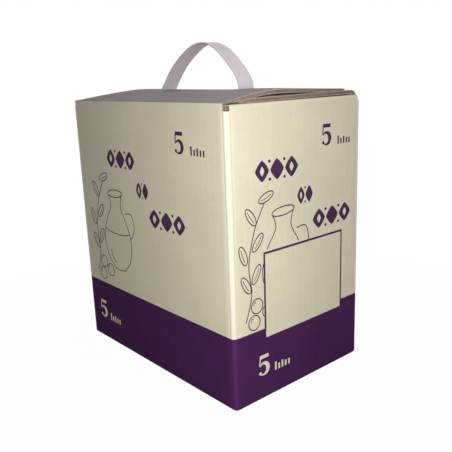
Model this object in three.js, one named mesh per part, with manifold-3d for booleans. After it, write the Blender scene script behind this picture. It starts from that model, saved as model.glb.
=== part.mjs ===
// Bag in box carton for five litres, as it stands on a shelf: one folded corrugated blank,
// its outer top flap with a plastic carry strap, and inside it the filled bag with its tap.
// Millimetres, +Z up. The origin is the middle of the underside. The front short wall faces
// -Y, the tap lies behind the rear short wall, and the outer top flap hinges on the -X wall.
import * as THREE from "three";
import { mergeVertices } from "three/addons/utils/BufferGeometryUtils.js";
import Module from "manifold-3d";

const wasm = await Module();
wasm.setup();

// Carton: outside sizes of the folded blank and its board
const CARTON_WIDTH = 140;
const CARTON_LENGTH = 206;
const FOLD_HEIGHT = 220;
const BOARD = 2.8;
const CORNER_RADIUS = 3.2;
const BOTTOM_FOLD_RADIUS = 1.8;
const BAND_HEIGHT = 56;

// Gaps: between faces that touch, and between flap ends that meet
const REST_GAP = 0.3;
const SEAM_GAP = 0.8;
const SEAM_SETBACK = 0.6;

// Corner slots between the flaps of neighbouring walls
const SLOT_REACH = 3.3;
const TOP_SLOT_DEPTH = 4.2;
const BOTTOM_SLOT_DEPTH = 2.2;

// Dust flaps on the short walls, and the inner flaps of the bottom
const DUST_FOLD_DROP = 1.1;
const DUST_FOLD_RADIUS = 2;
const DUST_FLAP_LENGTH = 69;
const BOTTOM_INNER_FLAP_LENGTH = 67;

// Lower top flap, which hangs on the +X wall and lies on the dust flaps
const LOWER_FOLD_RADIUS = 4;
const LOWER_FLAP_TILT = 0.006;
const LOWER_FLAP_SHORTFALL = 16;
const LOWER_EDGE_CRUSH = 1.35;
const LOWER_CRUSH_LENGTH = 12;

// Outer top flap, which hangs on the -X wall and arches over the strap's anchors
const OUTER_FLAP_WIDTH = 121;
const OUTER_EDGE_RISE = 4.5;
const CREASE_DROP = 0.4;
const CREASE_THICKNESS = 0.9;
const HINGE_EDGE_ROUND = 0.8;
const CREST_EASE = 0.4;
const CREST_REACH_FRONT = 56;
const CREST_REACH_REAR = 68;
const SPRING_FRONT = 3;
const SPRING_REAR = 1.3;
const ANCHOR_EASE_FRONT = 0.6;
const ANCHOR_EASE_REAR = 0.3;
const ANCHOR_LIFT_SPREAD = 45;
const DESCENT_POWER = 1.2;

// Carry strap
const STRAP_WIDTH = 16;
const STRAP_THICKNESS = 0.9;
const STRAP_FRONT_FOOT_Y = -47;
const STRAP_REAR_FOOT_Y = 54;
const STRAP_APEX_HEIGHT = 265;
const STRAP_BEND_RADIUS = 1.2;
const STRAP_TAB_LENGTH = 30;
const STRAP_HEAD_WIDTH = 24;
const STRAP_HEAD_LENGTH = 8;
const STRAP_SLOT_SIDE_GAP = 0.8;
const STRAP_SLOT_INNER_GAP = 0.55;

// Glue flap inside the seam corner, and the perforated tap knock-out in the rear wall
const GLUE_FLAP_WIDTH = 32;
const GLUE_FLAP_INSET = 7;
const KNOCKOUT_RADIUS = 24;
const KNOCKOUT_CUTS = 18;
const KNOCKOUT_CUT_SHARE = 0.72;
const KNOCKOUT_CUT_WIDTH = 0.7;

// Filled bag
const BAG_SIDE_GAP = 0.6;
const BAG_HEADSPACE = 3;
const BAG_ROUNDING = 12;
const BAG_POCKET_RADIUS = 31;

// Tap and spout, on one axis that runs along Y
const TAP_HEIGHT = 48;
const TAP_LENGTH = 44;
const TAP_WALL_GAP = 1.2;
const TAP_FIT = 0.3;
const SPOUT_BORE_RADIUS = 11;
const SPOUT_WALL = 2;
const SPOUT_LENGTH = 15;
const SPOUT_FLANGE_RADIUS = 21;
const SPOUT_FLANGE_THICKNESS = 1.6;
const SPOUT_RING_RADIUS = 16;
const SPOUT_RING_THICKNESS = 1.8;
const BARREL_RADIUS = 12.5;
const BARREL_BORE_RADIUS = 8;
const BARREL_SEAT_DEPTH = 8;
const NOZZLE_RADIUS = 8;
const NOZZLE_BORE_RADIUS = 6;
const NOZZLE_DROP = 24;
const WING_SPAN = 50;
const WING_HEIGHT = 13;
const WING_THICKNESS = 2.6;
const STEM_RADIUS = 2.4;
const VALVE_RADIUS = 9.6;
const VALVE_THICKNESS = 1.8;
const BUTTON_THICKNESS = 3;
const BUTTON_DOME = 2;
const BUTTON_STAND_OFF = 4.2;

// Places that follow from the sizes above
const HALF_WIDTH = CARTON_WIDTH / 2;
const HALF_LENGTH = CARTON_LENGTH / 2;
const INNER_HALF_WIDTH = HALF_WIDTH - BOARD;
const INNER_HALF_LENGTH = HALF_LENGTH - BOARD;
const DUST_TOP = FOLD_HEIGHT - DUST_FOLD_DROP;
const RING_TOP = DUST_TOP - TOP_SLOT_DEPTH;
const HINGE_HEIGHT = FOLD_HEIGHT - CREASE_DROP;
const FLOOR_TOP = 2 * BOARD;
const LOWER_EDGE_X = -HALF_WIDTH + LOWER_FLAP_SHORTFALL;
const TAB_UNDER = lowerFlapTop(HALF_WIDTH) + REST_GAP;
const TAB_TOP = TAB_UNDER + STRAP_THICKNESS;
const CREST_RISE = TAB_UNDER + BOARD + CREST_EASE - FOLD_HEIGHT;
const ANCHOR_RISE = TAB_TOP + REST_GAP + BOARD - FOLD_HEIGHT;
const TAP_ROOT_Y = INNER_HALF_LENGTH - TAP_WALL_GAP - TAP_LENGTH;
const TAP_MOUTH = TAP_LENGTH - BUTTON_STAND_OFF - BUTTON_DOME;
const CLEAR_OF = 10;

const CREAM = 0xe9e2c4;
const PURPLE = 0x452059;
const LINER = 0xb9b0b2;
const STRAP_COLOUR = 0xe2dce6;
const FILM = 0xc9ccd2;
const SPOUT_COLOUR = 0xf0efe9;
const TAP_COLOUR = 0x2c2a2e;
const BUTTON_COLOUR = 0x8c1d33;

function material(name, color, roughness, metalness = 0) {
  return new THREE.MeshStandardMaterial({ name, color, roughness, metalness });
}

const board = material("printed board", 0xffffff, 0.82);
board.vertexColors = true;
const liner = material("bare liner", LINER, 0.85);
const strapPlastic = material("strap plastic", STRAP_COLOUR, 0.35);
const bagFilm = material("metallised film", FILM, 0.3, 0.6);
const spoutPlastic = material("spout plastic", SPOUT_COLOUR, 0.4);
const tapPlastic = material("tap plastic", TAP_COLOUR, 0.4);
const buttonPlastic = material("button plastic", BUTTON_COLOUR, 0.5);

// A closed surface as a solid that can be joined and cut.
function solidOf(geometry) {
  const bare = geometry.clone();
  bare.deleteAttribute("normal");
  bare.deleteAttribute("uv");
  const merged = mergeVertices(bare, 1e-4);
  return new wasm.Manifold(
    new wasm.Mesh({
      numProp: 3,
      vertProperties: merged.attributes.position.array,
      triVerts: new Uint32Array(merged.index.array),
    }),
  );
}

function geometryOf(solid) {
  const mesh = solid.getMesh();
  const geometry = new THREE.BufferGeometry();
  geometry.setAttribute("position", new THREE.BufferAttribute(mesh.vertProperties, 3));
  geometry.setIndex(new THREE.BufferAttribute(mesh.triVerts, 1));
  const flat = geometry.toNonIndexed();
  flat.computeVertexNormals();
  return flat;
}

function join(solids) {
  return solids.reduce((whole, piece) => whole.add(piece));
}

function cut(solid, tools) {
  return tools.reduce((rest, tool) => rest.subtract(tool), solid);
}

// A box between two corners.
function block(low, high) {
  const size = low.map((value, axis) => high[axis] - value);
  const centre = low.map((value, axis) => (high[axis] + value) / 2);
  return solidOf(new THREE.BoxGeometry(...size).translate(...centre));
}

function shapeOf(points) {
  return new THREE.Shape(points.map(([x, y]) => new THREE.Vector2(x, y)));
}

// An outline in the XZ plane, carried along Y from yLow to yHigh.
function alongY(points, yLow, yHigh) {
  const geometry = new THREE.ExtrudeGeometry(shapeOf(points), {
    depth: yHigh - yLow,
    bevelEnabled: false,
  });
  return solidOf(geometry.rotateX(Math.PI / 2).translate(0, yHigh, 0));
}

// An outline in the YZ plane, carried along X from xLow to xHigh.
function alongX(points, xLow, xHigh) {
  const geometry = new THREE.ExtrudeGeometry(shapeOf(points), {
    depth: xHigh - xLow,
    bevelEnabled: false,
  });
  return solidOf(geometry.rotateX(Math.PI / 2).rotateZ(Math.PI / 2).translate(xLow, 0, 0));
}

// Points on an arc about (cx, cy), from one angle to another in degrees.
function arc(cx, cy, radius, from, to, steps = 6) {
  return Array.from({ length: steps + 1 }, (_, i) => {
    const angle = THREE.MathUtils.degToRad(from + ((to - from) * i) / steps);
    return [cx + radius * Math.cos(angle), cy + radius * Math.sin(angle)];
  });
}

function roundedRectangle(halfX, halfY, radius) {
  const centres = [
    [halfX - radius, halfY - radius],
    [radius - halfX, halfY - radius],
    [radius - halfX, radius - halfY],
    [halfX - radius, radius - halfY],
  ];
  return shapeOf(centres.flatMap(([x, y], i) => arc(x, y, radius, 90 * i, 90 * (i + 1), 5)));
}

// The four walls as a ring: round upright folds, and a round fold along the bottom edge.
function wallRing() {
  const outside = new THREE.ExtrudeGeometry(
    roundedRectangle(
      HALF_WIDTH - BOTTOM_FOLD_RADIUS,
      HALF_LENGTH - BOTTOM_FOLD_RADIUS,
      CORNER_RADIUS - BOTTOM_FOLD_RADIUS,
    ),
    {
      depth: RING_TOP,
      bevelThickness: BOTTOM_FOLD_RADIUS,
      bevelSize: BOTTOM_FOLD_RADIUS,
      bevelSegments: 3,
    },
  ).translate(0, 0, BOTTOM_FOLD_RADIUS);
  const inside = block(
    [-INNER_HALF_WIDTH, -INNER_HALF_LENGTH, -CLEAR_OF],
    [INNER_HALF_WIDTH, INNER_HALF_LENGTH, FOLD_HEIGHT + CLEAR_OF],
  );
  const above = block(
    [-HALF_WIDTH - CLEAR_OF, -HALF_LENGTH - CLEAR_OF, RING_TOP],
    [HALF_WIDTH + CLEAR_OF, HALF_LENGTH + CLEAR_OF, FOLD_HEIGHT + CLEAR_OF],
  );
  return cut(solidOf(outside), [inside, above]);
}

// The notches at the foot of the upright folds, between the flaps of the bottom.
function bottomSlots() {
  const signs = [-1, 1];
  return signs.flatMap((signX) =>
    signs.map((signY) => {
      const x = [signX * (HALF_WIDTH - SLOT_REACH), signX * (HALF_WIDTH + CLEAR_OF)];
      const y = [signY * (HALF_LENGTH - SLOT_REACH), signY * (HALF_LENGTH + CLEAR_OF)];
      return block(
        [Math.min(...x), Math.min(...y), -CLEAR_OF],
        [Math.max(...x), Math.max(...y), BOTTOM_SLOT_DEPTH],
      );
    }),
  );
}

// A short wall's top with its dust flap: up the wall, round the fold and inwards.
function dustFlap(signY) {
  const foot = RING_TOP - BOARD;
  const fold = HALF_LENGTH - DUST_FOLD_RADIUS;
  const edge = HALF_LENGTH - DUST_FLAP_LENGTH;
  const outline = [
    [INNER_HALF_LENGTH, foot],
    [HALF_LENGTH, foot],
    ...arc(fold, DUST_TOP - DUST_FOLD_RADIUS, DUST_FOLD_RADIUS, 0, 90),
    [edge, DUST_TOP],
    [edge, DUST_TOP - BOARD],
    [INNER_HALF_LENGTH, DUST_TOP - BOARD],
  ];
  const placed = outline.map(([y, z]) => [signY * y, z]);
  const reach = HALF_WIDTH - SLOT_REACH;
  return alongX(signY > 0 ? placed : placed.reverse(), -reach, reach);
}

// Height of the lower top flap's upper face at a distance from the -X wall's outside.
function lowerFlapTop(distance) {
  const full = DUST_TOP + REST_GAP + BOARD + LOWER_FLAP_TILT * (distance - LOWER_FLAP_SHORTFALL);
  const fromEdge = (distance - LOWER_FLAP_SHORTFALL) / LOWER_CRUSH_LENGTH;
  return full - LOWER_EDGE_CRUSH * (1 - THREE.MathUtils.clamp(fromEdge, 0, 1));
}

// The +X wall's top with the lower top flap: round the fold, and across to a crushed edge.
function lowerTopFlap() {
  const crushEnd = LOWER_FLAP_SHORTFALL + LOWER_CRUSH_LENGTH;
  const foldStart = CARTON_WIDTH - LOWER_FOLD_RADIUS;
  const top = lowerFlapTop(foldStart);
  const outline = [
    [INNER_HALF_WIDTH, RING_TOP - BOARD],
    [HALF_WIDTH, RING_TOP - BOARD],
    ...arc(HALF_WIDTH - LOWER_FOLD_RADIUS, top - LOWER_FOLD_RADIUS, LOWER_FOLD_RADIUS, 0, 90),
    [crushEnd - HALF_WIDTH, lowerFlapTop(crushEnd)],
    [LOWER_EDGE_X, lowerFlapTop(LOWER_FLAP_SHORTFALL)],
    [LOWER_EDGE_X, DUST_TOP + REST_GAP],
    [HALF_WIDTH - LOWER_FOLD_RADIUS, top - BOARD],
    [INNER_HALF_WIDTH, top - LOWER_FOLD_RADIUS],
  ];
  const reach = HALF_LENGTH - SLOT_REACH;
  return alongY(outline, -reach, reach);
}

// The -X wall's top, which ends under the outer flap's crease.
function hingeWallTop() {
  const top = HINGE_HEIGHT - REST_GAP;
  const round = HINGE_EDGE_ROUND;
  const outline = [
    [-HALF_WIDTH, RING_TOP - BOARD],
    [-INNER_HALF_WIDTH, RING_TOP - BOARD],
    [-INNER_HALF_WIDTH, top],
    ...arc(round - HALF_WIDTH, top - round, round, 90, 180, 3),
  ];
  const reach = HALF_LENGTH - SLOT_REACH;
  return alongY(outline, -reach, reach);
}

// Bottom: two outer flaps that meet at the middle, on them two inner flaps from the short walls.
function bottomFlaps() {
  const reach = HALF_LENGTH - SLOT_REACH - SEAM_GAP;
  const overlap = BOARD / 2;
  const outer = [-1, 1].map((sign) => {
    const edges = [sign * (SEAM_GAP / 2), sign * (INNER_HALF_WIDTH + overlap)].sort((a, b) => a - b);
    return block([edges[0], -reach, 0], [edges[1], reach, BOARD]);
  });
  const inner = [-1, 1].map((sign) => {
    const edges = [
      sign * (HALF_LENGTH - BOTTOM_INNER_FLAP_LENGTH),
      sign * (INNER_HALF_LENGTH + overlap),
    ].sort((a, b) => a - b);
    return block([-INNER_HALF_WIDTH, edges[0], BOARD], [INNER_HALF_WIDTH, edges[1], FLOOR_TOP]);
  });
  return join([...outer, ...inner]);
}

// The glue flap of the rear wall, inside the +X wall at the seam corner.
function glueFlap() {
  const hold = BOARD / 2;
  return block(
    [INNER_HALF_WIDTH - BOARD, INNER_HALF_LENGTH - GLUE_FLAP_WIDTH, GLUE_FLAP_INSET],
    [INNER_HALF_WIDTH + hold, INNER_HALF_LENGTH + hold, RING_TOP - GLUE_FLAP_INSET],
  );
}

// The open seam where the +X wall's cut edge meets the rear wall.
function seamCut() {
  const wallEnd = INNER_HALF_LENGTH - SEAM_SETBACK;
  return block(
    [INNER_HALF_WIDTH, wallEnd - SEAM_GAP, GLUE_FLAP_INSET + BOARD],
    [HALF_WIDTH + CLEAR_OF, wallEnd, RING_TOP - GLUE_FLAP_INSET - BOARD],
  );
}

// Short cuts in a circle through the rear wall, where the tap is pushed out.
function knockoutCuts() {
  const length = ((2 * Math.PI * KNOCKOUT_RADIUS) / KNOCKOUT_CUTS) * KNOCKOUT_CUT_SHARE;
  return Array.from({ length: KNOCKOUT_CUTS }, (_, i) => {
    const angle = (2 * Math.PI * i) / KNOCKOUT_CUTS;
    const cutter = new THREE.BoxGeometry(length, 3 * BOARD, KNOCKOUT_CUT_WIDTH);
    cutter.translate(0, INNER_HALF_LENGTH + BOARD / 2, KNOCKOUT_RADIUS);
    cutter.rotateY(angle);
    return solidOf(cutter.translate(0, 0, TAP_HEIGHT));
  });
}

function cartonSolid() {
  const folded = join([
    cut(join([wallRing(), bottomFlaps()]), bottomSlots()),
    dustFlap(-1),
    dustFlap(1),
    hingeWallTop(),
    lowerTopFlap(),
    glueFlap(),
  ]);
  return cut(folded, [seamCut(), ...knockoutCuts()]);
}

// Splits every triangle that crosses a height, so a colour can end on a clean line there.
function splitAtHeight(geometry, height) {
  const source = geometry.attributes.position;
  const corners = [];
  const crossing = (a, b) => {
    const [low, high] = a.z < b.z ? [a, b] : [b, a];
    const point = low.clone().lerp(high, (height - low.z) / (high.z - low.z));
    return point.setZ(height);
  };
  for (let i = 0; i < source.count; i += 3) {
    let triangle = [0, 1, 2].map((k) => new THREE.Vector3().fromBufferAttribute(source, i + k));
    const above = triangle.map((point) => point.z > height);
    const raised = above.filter(Boolean).length;
    const touches = triangle.some((point) => Math.abs(point.z - height) < 1e-3);
    if (raised === 0 || raised === 3 || touches) {
      corners.push(...triangle);
      continue;
    }
    const lone = above.indexOf(raised === 1);
    triangle = [...triangle.slice(lone), ...triangle.slice(0, lone)];
    const [tip, second, third] = triangle;
    const near = crossing(tip, second);
    const far = crossing(tip, third);
    corners.push(tip, near, far, near, second, third, near, third, far);
  }
  const split = new THREE.BufferGeometry().setFromPoints(corners);
  split.computeVertexNormals();
  return split;
}

// The print as fields of colour: a dark band round the foot of the walls, pale board above.
function paintBand(geometry, height) {
  const split = splitAtHeight(geometry, height);
  const position = split.attributes.position;
  const colours = [];
  const dark = new THREE.Color(PURPLE);
  const pale = new THREE.Color(CREAM);
  for (let i = 0; i < position.count; i += 3) {
    const middle = (position.getZ(i) + position.getZ(i + 1) + position.getZ(i + 2)) / 3;
    const colour = middle < height ? dark : pale;
    for (let k = 0; k < 3; k += 1) {
      colours.push(colour.r, colour.g, colour.b);
    }
  }
  split.setAttribute("color", new THREE.Float32BufferAttribute(colours, 3));
  return split;
}

// Rise of the outer flap's upper face above the fold line. It springs from the crease to a
// crest near the middle of the carton, where the strap's anchors lift it, and falls to its edge.
function outerFlapRise(distance, y) {
  const along = (y + HALF_LENGTH) / CARTON_LENGTH;
  const bump = (place) => Math.exp(-(((y - place) / ANCHOR_LIFT_SPREAD) ** 2));
  const lift = ANCHOR_RISE - CREST_RISE;
  const crest =
    CREST_RISE +
    (lift + ANCHOR_EASE_FRONT) * bump(STRAP_FRONT_FOOT_Y - STRAP_TAB_LENGTH) +
    (lift + ANCHOR_EASE_REAR) * bump(STRAP_REAR_FOOT_Y + STRAP_TAB_LENGTH);
  const reach = THREE.MathUtils.lerp(CREST_REACH_FRONT, CREST_REACH_REAR, along);
  if (distance < reach) {
    const power = THREE.MathUtils.lerp(SPRING_FRONT, SPRING_REAR, along);
    return crest * (1 - (1 - distance / reach) ** power);
  }
  const fall = ((distance - reach) / (OUTER_FLAP_WIDTH - reach)) ** DESCENT_POWER;
  return crest - (crest - OUTER_EDGE_RISE) * fall;
}

function outerFlapTop(distance, y) {
  const crease = CREASE_THICKNESS * Math.min(1, distance / CREASE_THICKNESS);
  const rise = Math.max(outerFlapRise(distance, y), crease - CREASE_DROP);
  return FOLD_HEIGHT + rise;
}

// The lowest that the outer flap's under face may lie: on the wall, then on the lower flap.
function restLine(distance) {
  const wallRest = HINGE_HEIGHT;
  if (distance <= BOARD) {
    return wallRest;
  }
  const lapStart = LOWER_FLAP_SHORTFALL - 2 * REST_GAP;
  if (distance >= lapStart) {
    return lowerFlapTop(distance) + REST_GAP;
  }
  const share = (distance - BOARD) / (lapStart - BOARD);
  return THREE.MathUtils.lerp(wallRest, lowerFlapTop(lapStart) + REST_GAP, share);
}

// Places of the outer flap's grid lines across its width, close together at creases.
function outerFlapColumns() {
  const crushEnd = LOWER_FLAP_SHORTFALL + LOWER_CRUSH_LENGTH;
  const crush = [
    0,
    CREASE_THICKNESS,
    BOARD,
    (BOARD + LOWER_FLAP_SHORTFALL) / 2,
    LOWER_FLAP_SHORTFALL - 2 * REST_GAP,
    LOWER_FLAP_SHORTFALL + REST_GAP,
    (LOWER_FLAP_SHORTFALL + crushEnd) / 2,
    crushEnd,
  ];
  const spans = 10;
  const plain = Array.from(
    { length: spans },
    (_, i) => crushEnd + ((OUTER_FLAP_WIDTH - crushEnd) * (i + 1)) / spans,
  );
  return [...crush, ...plain];
}

// The arched plate of the outer top flap, with the two slots that the strap passes through.
function outerTopFlapSolid() {
  const columns = outerFlapColumns();
  const rows = 26;
  const length = CARTON_LENGTH - 2 * SLOT_REACH;
  const plate = new THREE.BoxGeometry(columns.length - 1, length, 1, columns.length - 1, rows, 1);
  const position = plate.attributes.position;
  const middleColumn = (columns.length - 1) / 2;
  for (let i = 0; i < position.count; i += 1) {
    const column = Math.round(position.getX(i) + middleColumn);
    const distance = columns[column];
    const y = position.getY(i);
    const top = outerFlapTop(distance, y);
    const under = Math.max(top - BOARD, restLine(distance));
    const edge = column === 0 ? REST_GAP : CREASE_THICKNESS;
    const face = position.getZ(i) > 0 ? Math.max(top, under + edge) : under;
    position.setXYZ(i, distance - HALF_WIDTH, y, face);
  }
  const feet = [
    [STRAP_FRONT_FOOT_Y, -1],
    [STRAP_REAR_FOOT_Y, 1],
  ];
  const cuts = feet.flatMap(([foot, outward]) => [strapSlot(foot, outward), tabRoom(foot, outward)]);
  return cut(solidOf(plate), cuts);
}

// The room that a tab and its head press into the flap's under face.
function tabRoom(foot, outward) {
  const ends = [foot, foot + outward * (STRAP_TAB_LENGTH + REST_GAP)].sort((a, b) => a - b);
  const halfWidth = STRAP_HEAD_WIDTH / 2 + REST_GAP;
  return block([-halfWidth, ends[0], FOLD_HEIGHT], [halfWidth, ends[1], TAB_TOP + REST_GAP]);
}

// The slot that a foot of the strap goes through, wider on the side that its tab bends to.
function strapSlot(foot, outward) {
  const halfThickness = STRAP_THICKNESS / 2;
  const outer = foot + outward * (STRAP_BEND_RADIUS + REST_GAP);
  const inner = foot - outward * (halfThickness + STRAP_SLOT_INNER_GAP);
  const halfWidth = STRAP_WIDTH / 2 + STRAP_SLOT_SIDE_GAP;
  return block(
    [-halfWidth, Math.min(outer, inner), FOLD_HEIGHT],
    [halfWidth, Math.max(outer, inner), FOLD_HEIGHT + 4 * BOARD],
  );
}

// Middle line of the strap in the YZ plane: tab, bend, bowed arch, bend, tab. The bow is
// given as shares of the span between the feet and of the rise above them.
function strapLine() {
  const tabHeight = TAB_UNDER + STRAP_THICKNESS / 2;
  const bendTop = tabHeight + STRAP_BEND_RADIUS;
  const span = STRAP_REAR_FOOT_Y - STRAP_FRONT_FOOT_Y;
  const rise = STRAP_APEX_HEIGHT - bendTop;
  const bow = [
    [0, 0],
    [0, 0.1],
    [0.01, 0.2],
    [0.045, 0.33],
    [0.14, 0.56],
    [0.25, 0.79],
    [0.35, 0.93],
    [0.475, 1],
    [0.6, 0.945],
    [0.74, 0.78],
    [0.85, 0.57],
    [0.93, 0.36],
    [0.985, 0.18],
    [1, 0.09],
    [1, 0],
  ].map(([share, height]) => new THREE.Vector2(STRAP_FRONT_FOOT_Y + span * share, bendTop + rise * height));
  const arch = new THREE.SplineCurve(bow).getPoints(56).map((point) => [point.x, point.y]);
  const frontBend = arc(STRAP_FRONT_FOOT_Y - STRAP_BEND_RADIUS, bendTop, STRAP_BEND_RADIUS, 270, 360);
  const rearBend = arc(STRAP_REAR_FOOT_Y + STRAP_BEND_RADIUS, bendTop, STRAP_BEND_RADIUS, 180, 270);
  return [
    [STRAP_FRONT_FOOT_Y - STRAP_TAB_LENGTH, tabHeight],
    ...frontBend.slice(0, -1),
    ...arch,
    ...rearBend.slice(1),
    [STRAP_REAR_FOOT_Y + STRAP_TAB_LENGTH, tabHeight],
  ];
}

// A flat band of even thickness about a middle line.
function bandOutline(line, thickness) {
  const points = line.map(([x, y]) => new THREE.Vector2(x, y));
  const normals = points.map((_, i) => {
    const before = points[Math.max(i - 1, 0)];
    const after = points[Math.min(i + 1, points.length - 1)];
    const along = after.clone().sub(before).normalize();
    return new THREE.Vector2(-along.y, along.x);
  });
  const side = (sign) =>
    points.map((point, i) => point.clone().addScaledVector(normals[i], (sign * thickness) / 2));
  return [...side(-1), ...side(1).reverse()].map((point) => [point.x, point.y]);
}

function carryStrapSolid() {
  const line = strapLine();
  const tabHeight = line[0][1];
  const band = alongX(bandOutline(line, STRAP_THICKNESS), -STRAP_WIDTH / 2, STRAP_WIDTH / 2);
  const heads = [line[0][0], line.at(-1)[0]].map((end) => {
    const inward = end - Math.sign(end) * STRAP_HEAD_LENGTH;
    return block(
      [-STRAP_HEAD_WIDTH / 2, Math.min(end, inward), tabHeight - STRAP_THICKNESS / 2],
      [STRAP_HEAD_WIDTH / 2, Math.max(end, inward), tabHeight + STRAP_THICKNESS / 2],
    );
  });
  return join([band, ...heads]);
}

// A profile of [radius, distance] turned about the tap's axis; the distance runs out along +Y.
function turned(profile, steps = 32) {
  const geometry = new THREE.LatheGeometry(
    profile.map(([radius, distance]) => new THREE.Vector2(radius, distance)),
    steps,
  );
  return solidOf(geometry).translate([0, TAP_ROOT_Y, TAP_HEIGHT]);
}

// The filled bag: a block with round edges that fills the carton up to its headspace.
function bagSolid() {
  const bottom = FLOOR_TOP + REST_GAP;
  const top = RING_TOP - BAG_HEADSPACE;
  const half = new THREE.Vector3(
    INNER_HALF_WIDTH - BOARD - BAG_SIDE_GAP,
    INNER_HALF_LENGTH - BAG_SIDE_GAP,
    (top - bottom) / 2,
  );
  const core = half.clone().subScalar(BAG_ROUNDING);
  const body = new THREE.BoxGeometry(2 * half.x, 2 * half.y, 2 * half.z, 16, 16, 16);
  const position = body.attributes.position;
  const point = new THREE.Vector3();
  for (let i = 0; i < position.count; i += 1) {
    point.fromBufferAttribute(position, i);
    const nearest = point.clone().clamp(core.clone().negate(), core);
    const outward = point.clone().sub(nearest).setLength(BAG_ROUNDING);
    point.copy(nearest).add(outward);
    position.setXYZ(i, point.x, point.y, point.z + (top + bottom) / 2);
  }
  const deep = TAP_LENGTH + 2 * TAP_WALL_GAP;
  const pocket = turned([
    [0, 0],
    [BAG_POCKET_RADIUS, 0],
    [BAG_POCKET_RADIUS, deep],
    [0, deep],
  ]);
  return cut(solidOf(body), [pocket]);
}

// The spout: a flange on the bag, a neck and two rings that the filling head grips.
function spoutSolid() {
  const neck = SPOUT_BORE_RADIUS + SPOUT_WALL;
  const ringAt = (start) => [
    [neck, start],
    [SPOUT_RING_RADIUS, start],
    [SPOUT_RING_RADIUS, start + SPOUT_RING_THICKNESS],
    [neck, start + SPOUT_RING_THICKNESS],
  ];
  const flangeTop = REST_GAP + SPOUT_FLANGE_THICKNESS;
  return turned([
    [SPOUT_BORE_RADIUS, REST_GAP],
    [SPOUT_FLANGE_RADIUS, REST_GAP],
    [SPOUT_FLANGE_RADIUS, flangeTop],
    ...ringAt(SPOUT_LENGTH / 3),
    ...ringAt((2 * SPOUT_LENGTH) / 3),
    [neck, SPOUT_LENGTH],
    [SPOUT_BORE_RADIUS, SPOUT_LENGTH],
    [SPOUT_BORE_RADIUS, REST_GAP],
  ]);
}

// The tap body: a plug in the spout, a barrel, a nozzle that points down and two finger wings.
function tapBodySolid() {
  const plug = SPOUT_BORE_RADIUS - TAP_FIT;
  const collar = SPOUT_LENGTH + TAP_FIT;
  const shell = turned([
    [0, BARREL_SEAT_DEPTH],
    [plug, BARREL_SEAT_DEPTH],
    [plug, collar],
    [SPOUT_RING_RADIUS, collar],
    [SPOUT_RING_RADIUS, collar + SPOUT_RING_THICKNESS],
    [BARREL_RADIUS, collar + SPOUT_RING_THICKNESS],
    [BARREL_RADIUS, TAP_MOUTH],
    [0, TAP_MOUTH],
  ]);
  const bore = turned([
    [0, 0],
    [BARREL_BORE_RADIUS, 0],
    [BARREL_BORE_RADIUS, TAP_LENGTH],
    [0, TAP_LENGTH],
  ]);
  const nozzleY = TAP_ROOT_Y + (collar + SPOUT_RING_THICKNESS + TAP_MOUTH - WING_THICKNESS) / 2;
  const pipe = (radius, length) => {
    const tube = new THREE.CylinderGeometry(radius, radius, length, 28).rotateX(Math.PI / 2);
    return solidOf(tube.translate(0, nozzleY, TAP_HEIGHT - length / 2));
  };
  const wings = block(
    [-WING_SPAN / 2, TAP_ROOT_Y + TAP_MOUTH - WING_THICKNESS, TAP_HEIGHT - WING_HEIGHT / 2],
    [WING_SPAN / 2, TAP_ROOT_Y + TAP_MOUTH, TAP_HEIGHT + WING_HEIGHT / 2],
  );
  const nozzle = pipe(NOZZLE_RADIUS, NOZZLE_DROP);
  const drain = pipe(NOZZLE_BORE_RADIUS, NOZZLE_DROP + CLEAR_OF);
  return cut(join([shell, nozzle, wings]), [bore, drain]);
}

// The valve: a disc that closes the barrel from the bag's side, on a stem to the button.
function valveStemSolid() {
  const seat = BARREL_SEAT_DEPTH - TAP_FIT;
  return turned([
    [0, seat - VALVE_THICKNESS],
    [VALVE_RADIUS, seat - VALVE_THICKNESS],
    [VALVE_RADIUS, seat],
    [STEM_RADIUS, seat],
    [STEM_RADIUS, TAP_MOUTH - TAP_FIT],
    [0, TAP_MOUTH - TAP_FIT],
  ]);
}

// The domed button that pushes the stem in; its skirt slides in the barrel's mouth.
function buttonSolid() {
  const radius = BARREL_BORE_RADIUS - TAP_FIT;
  const socket = STEM_RADIUS + TAP_FIT;
  const rim = TAP_MOUTH + BUTTON_STAND_OFF;
  const dome = [1, 0.85, 0.6, 0.3].map((share) => [
    radius * share,
    rim + BUTTON_DOME * Math.sqrt(1 - share * share),
  ]);
  return turned([
    [0, TAP_MOUTH],
    [socket, TAP_MOUTH],
    [socket, TAP_MOUTH - BUTTON_THICKNESS],
    [radius, TAP_MOUTH - BUTTON_THICKNESS],
    ...dome,
    [0, rim + BUTTON_DOME],
  ]);
}

function piece(name, geometry, finish) {
  const mesh = new THREE.Mesh(geometry, finish);
  mesh.name = name;
  return mesh;
}

const carton = new THREE.Group();
carton.add(piece("carton", paintBand(geometryOf(cartonSolid()), BAND_HEIGHT), board));

const topClosure = new THREE.Group();
topClosure.add(piece("outer_top_flap", geometryOf(outerTopFlapSolid()), liner));
topClosure.add(piece("carry_strap", geometryOf(carryStrapSolid()), strapPlastic));

const filling = new THREE.Group();
filling.add(piece("filled_bag", geometryOf(bagSolid()), bagFilm));
filling.add(piece("bag_spout", geometryOf(spoutSolid()), spoutPlastic));
filling.add(piece("tap_body", geometryOf(tapBodySolid()), tapPlastic));
filling.add(piece("valve_stem", geometryOf(valveStemSolid()), spoutPlastic));
filling.add(piece("tap_button", geometryOf(buttonSolid()), buttonPlastic));

const bagInBox = new THREE.Group();
bagInBox.name = "bag_in_box_carton";
bagInBox.add(carton, topClosure, filling);

export default bagInBox;
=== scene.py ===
"""Looks of the bag in box carton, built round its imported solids.

Metres in Blender; the shape functions work in millimetres, in the same frame as the solids:
+Z up, the front short wall on -Y, the outer top flap's crease along the top of the -X wall.
"""

import math
from functools import partial
from types import SimpleNamespace

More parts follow.
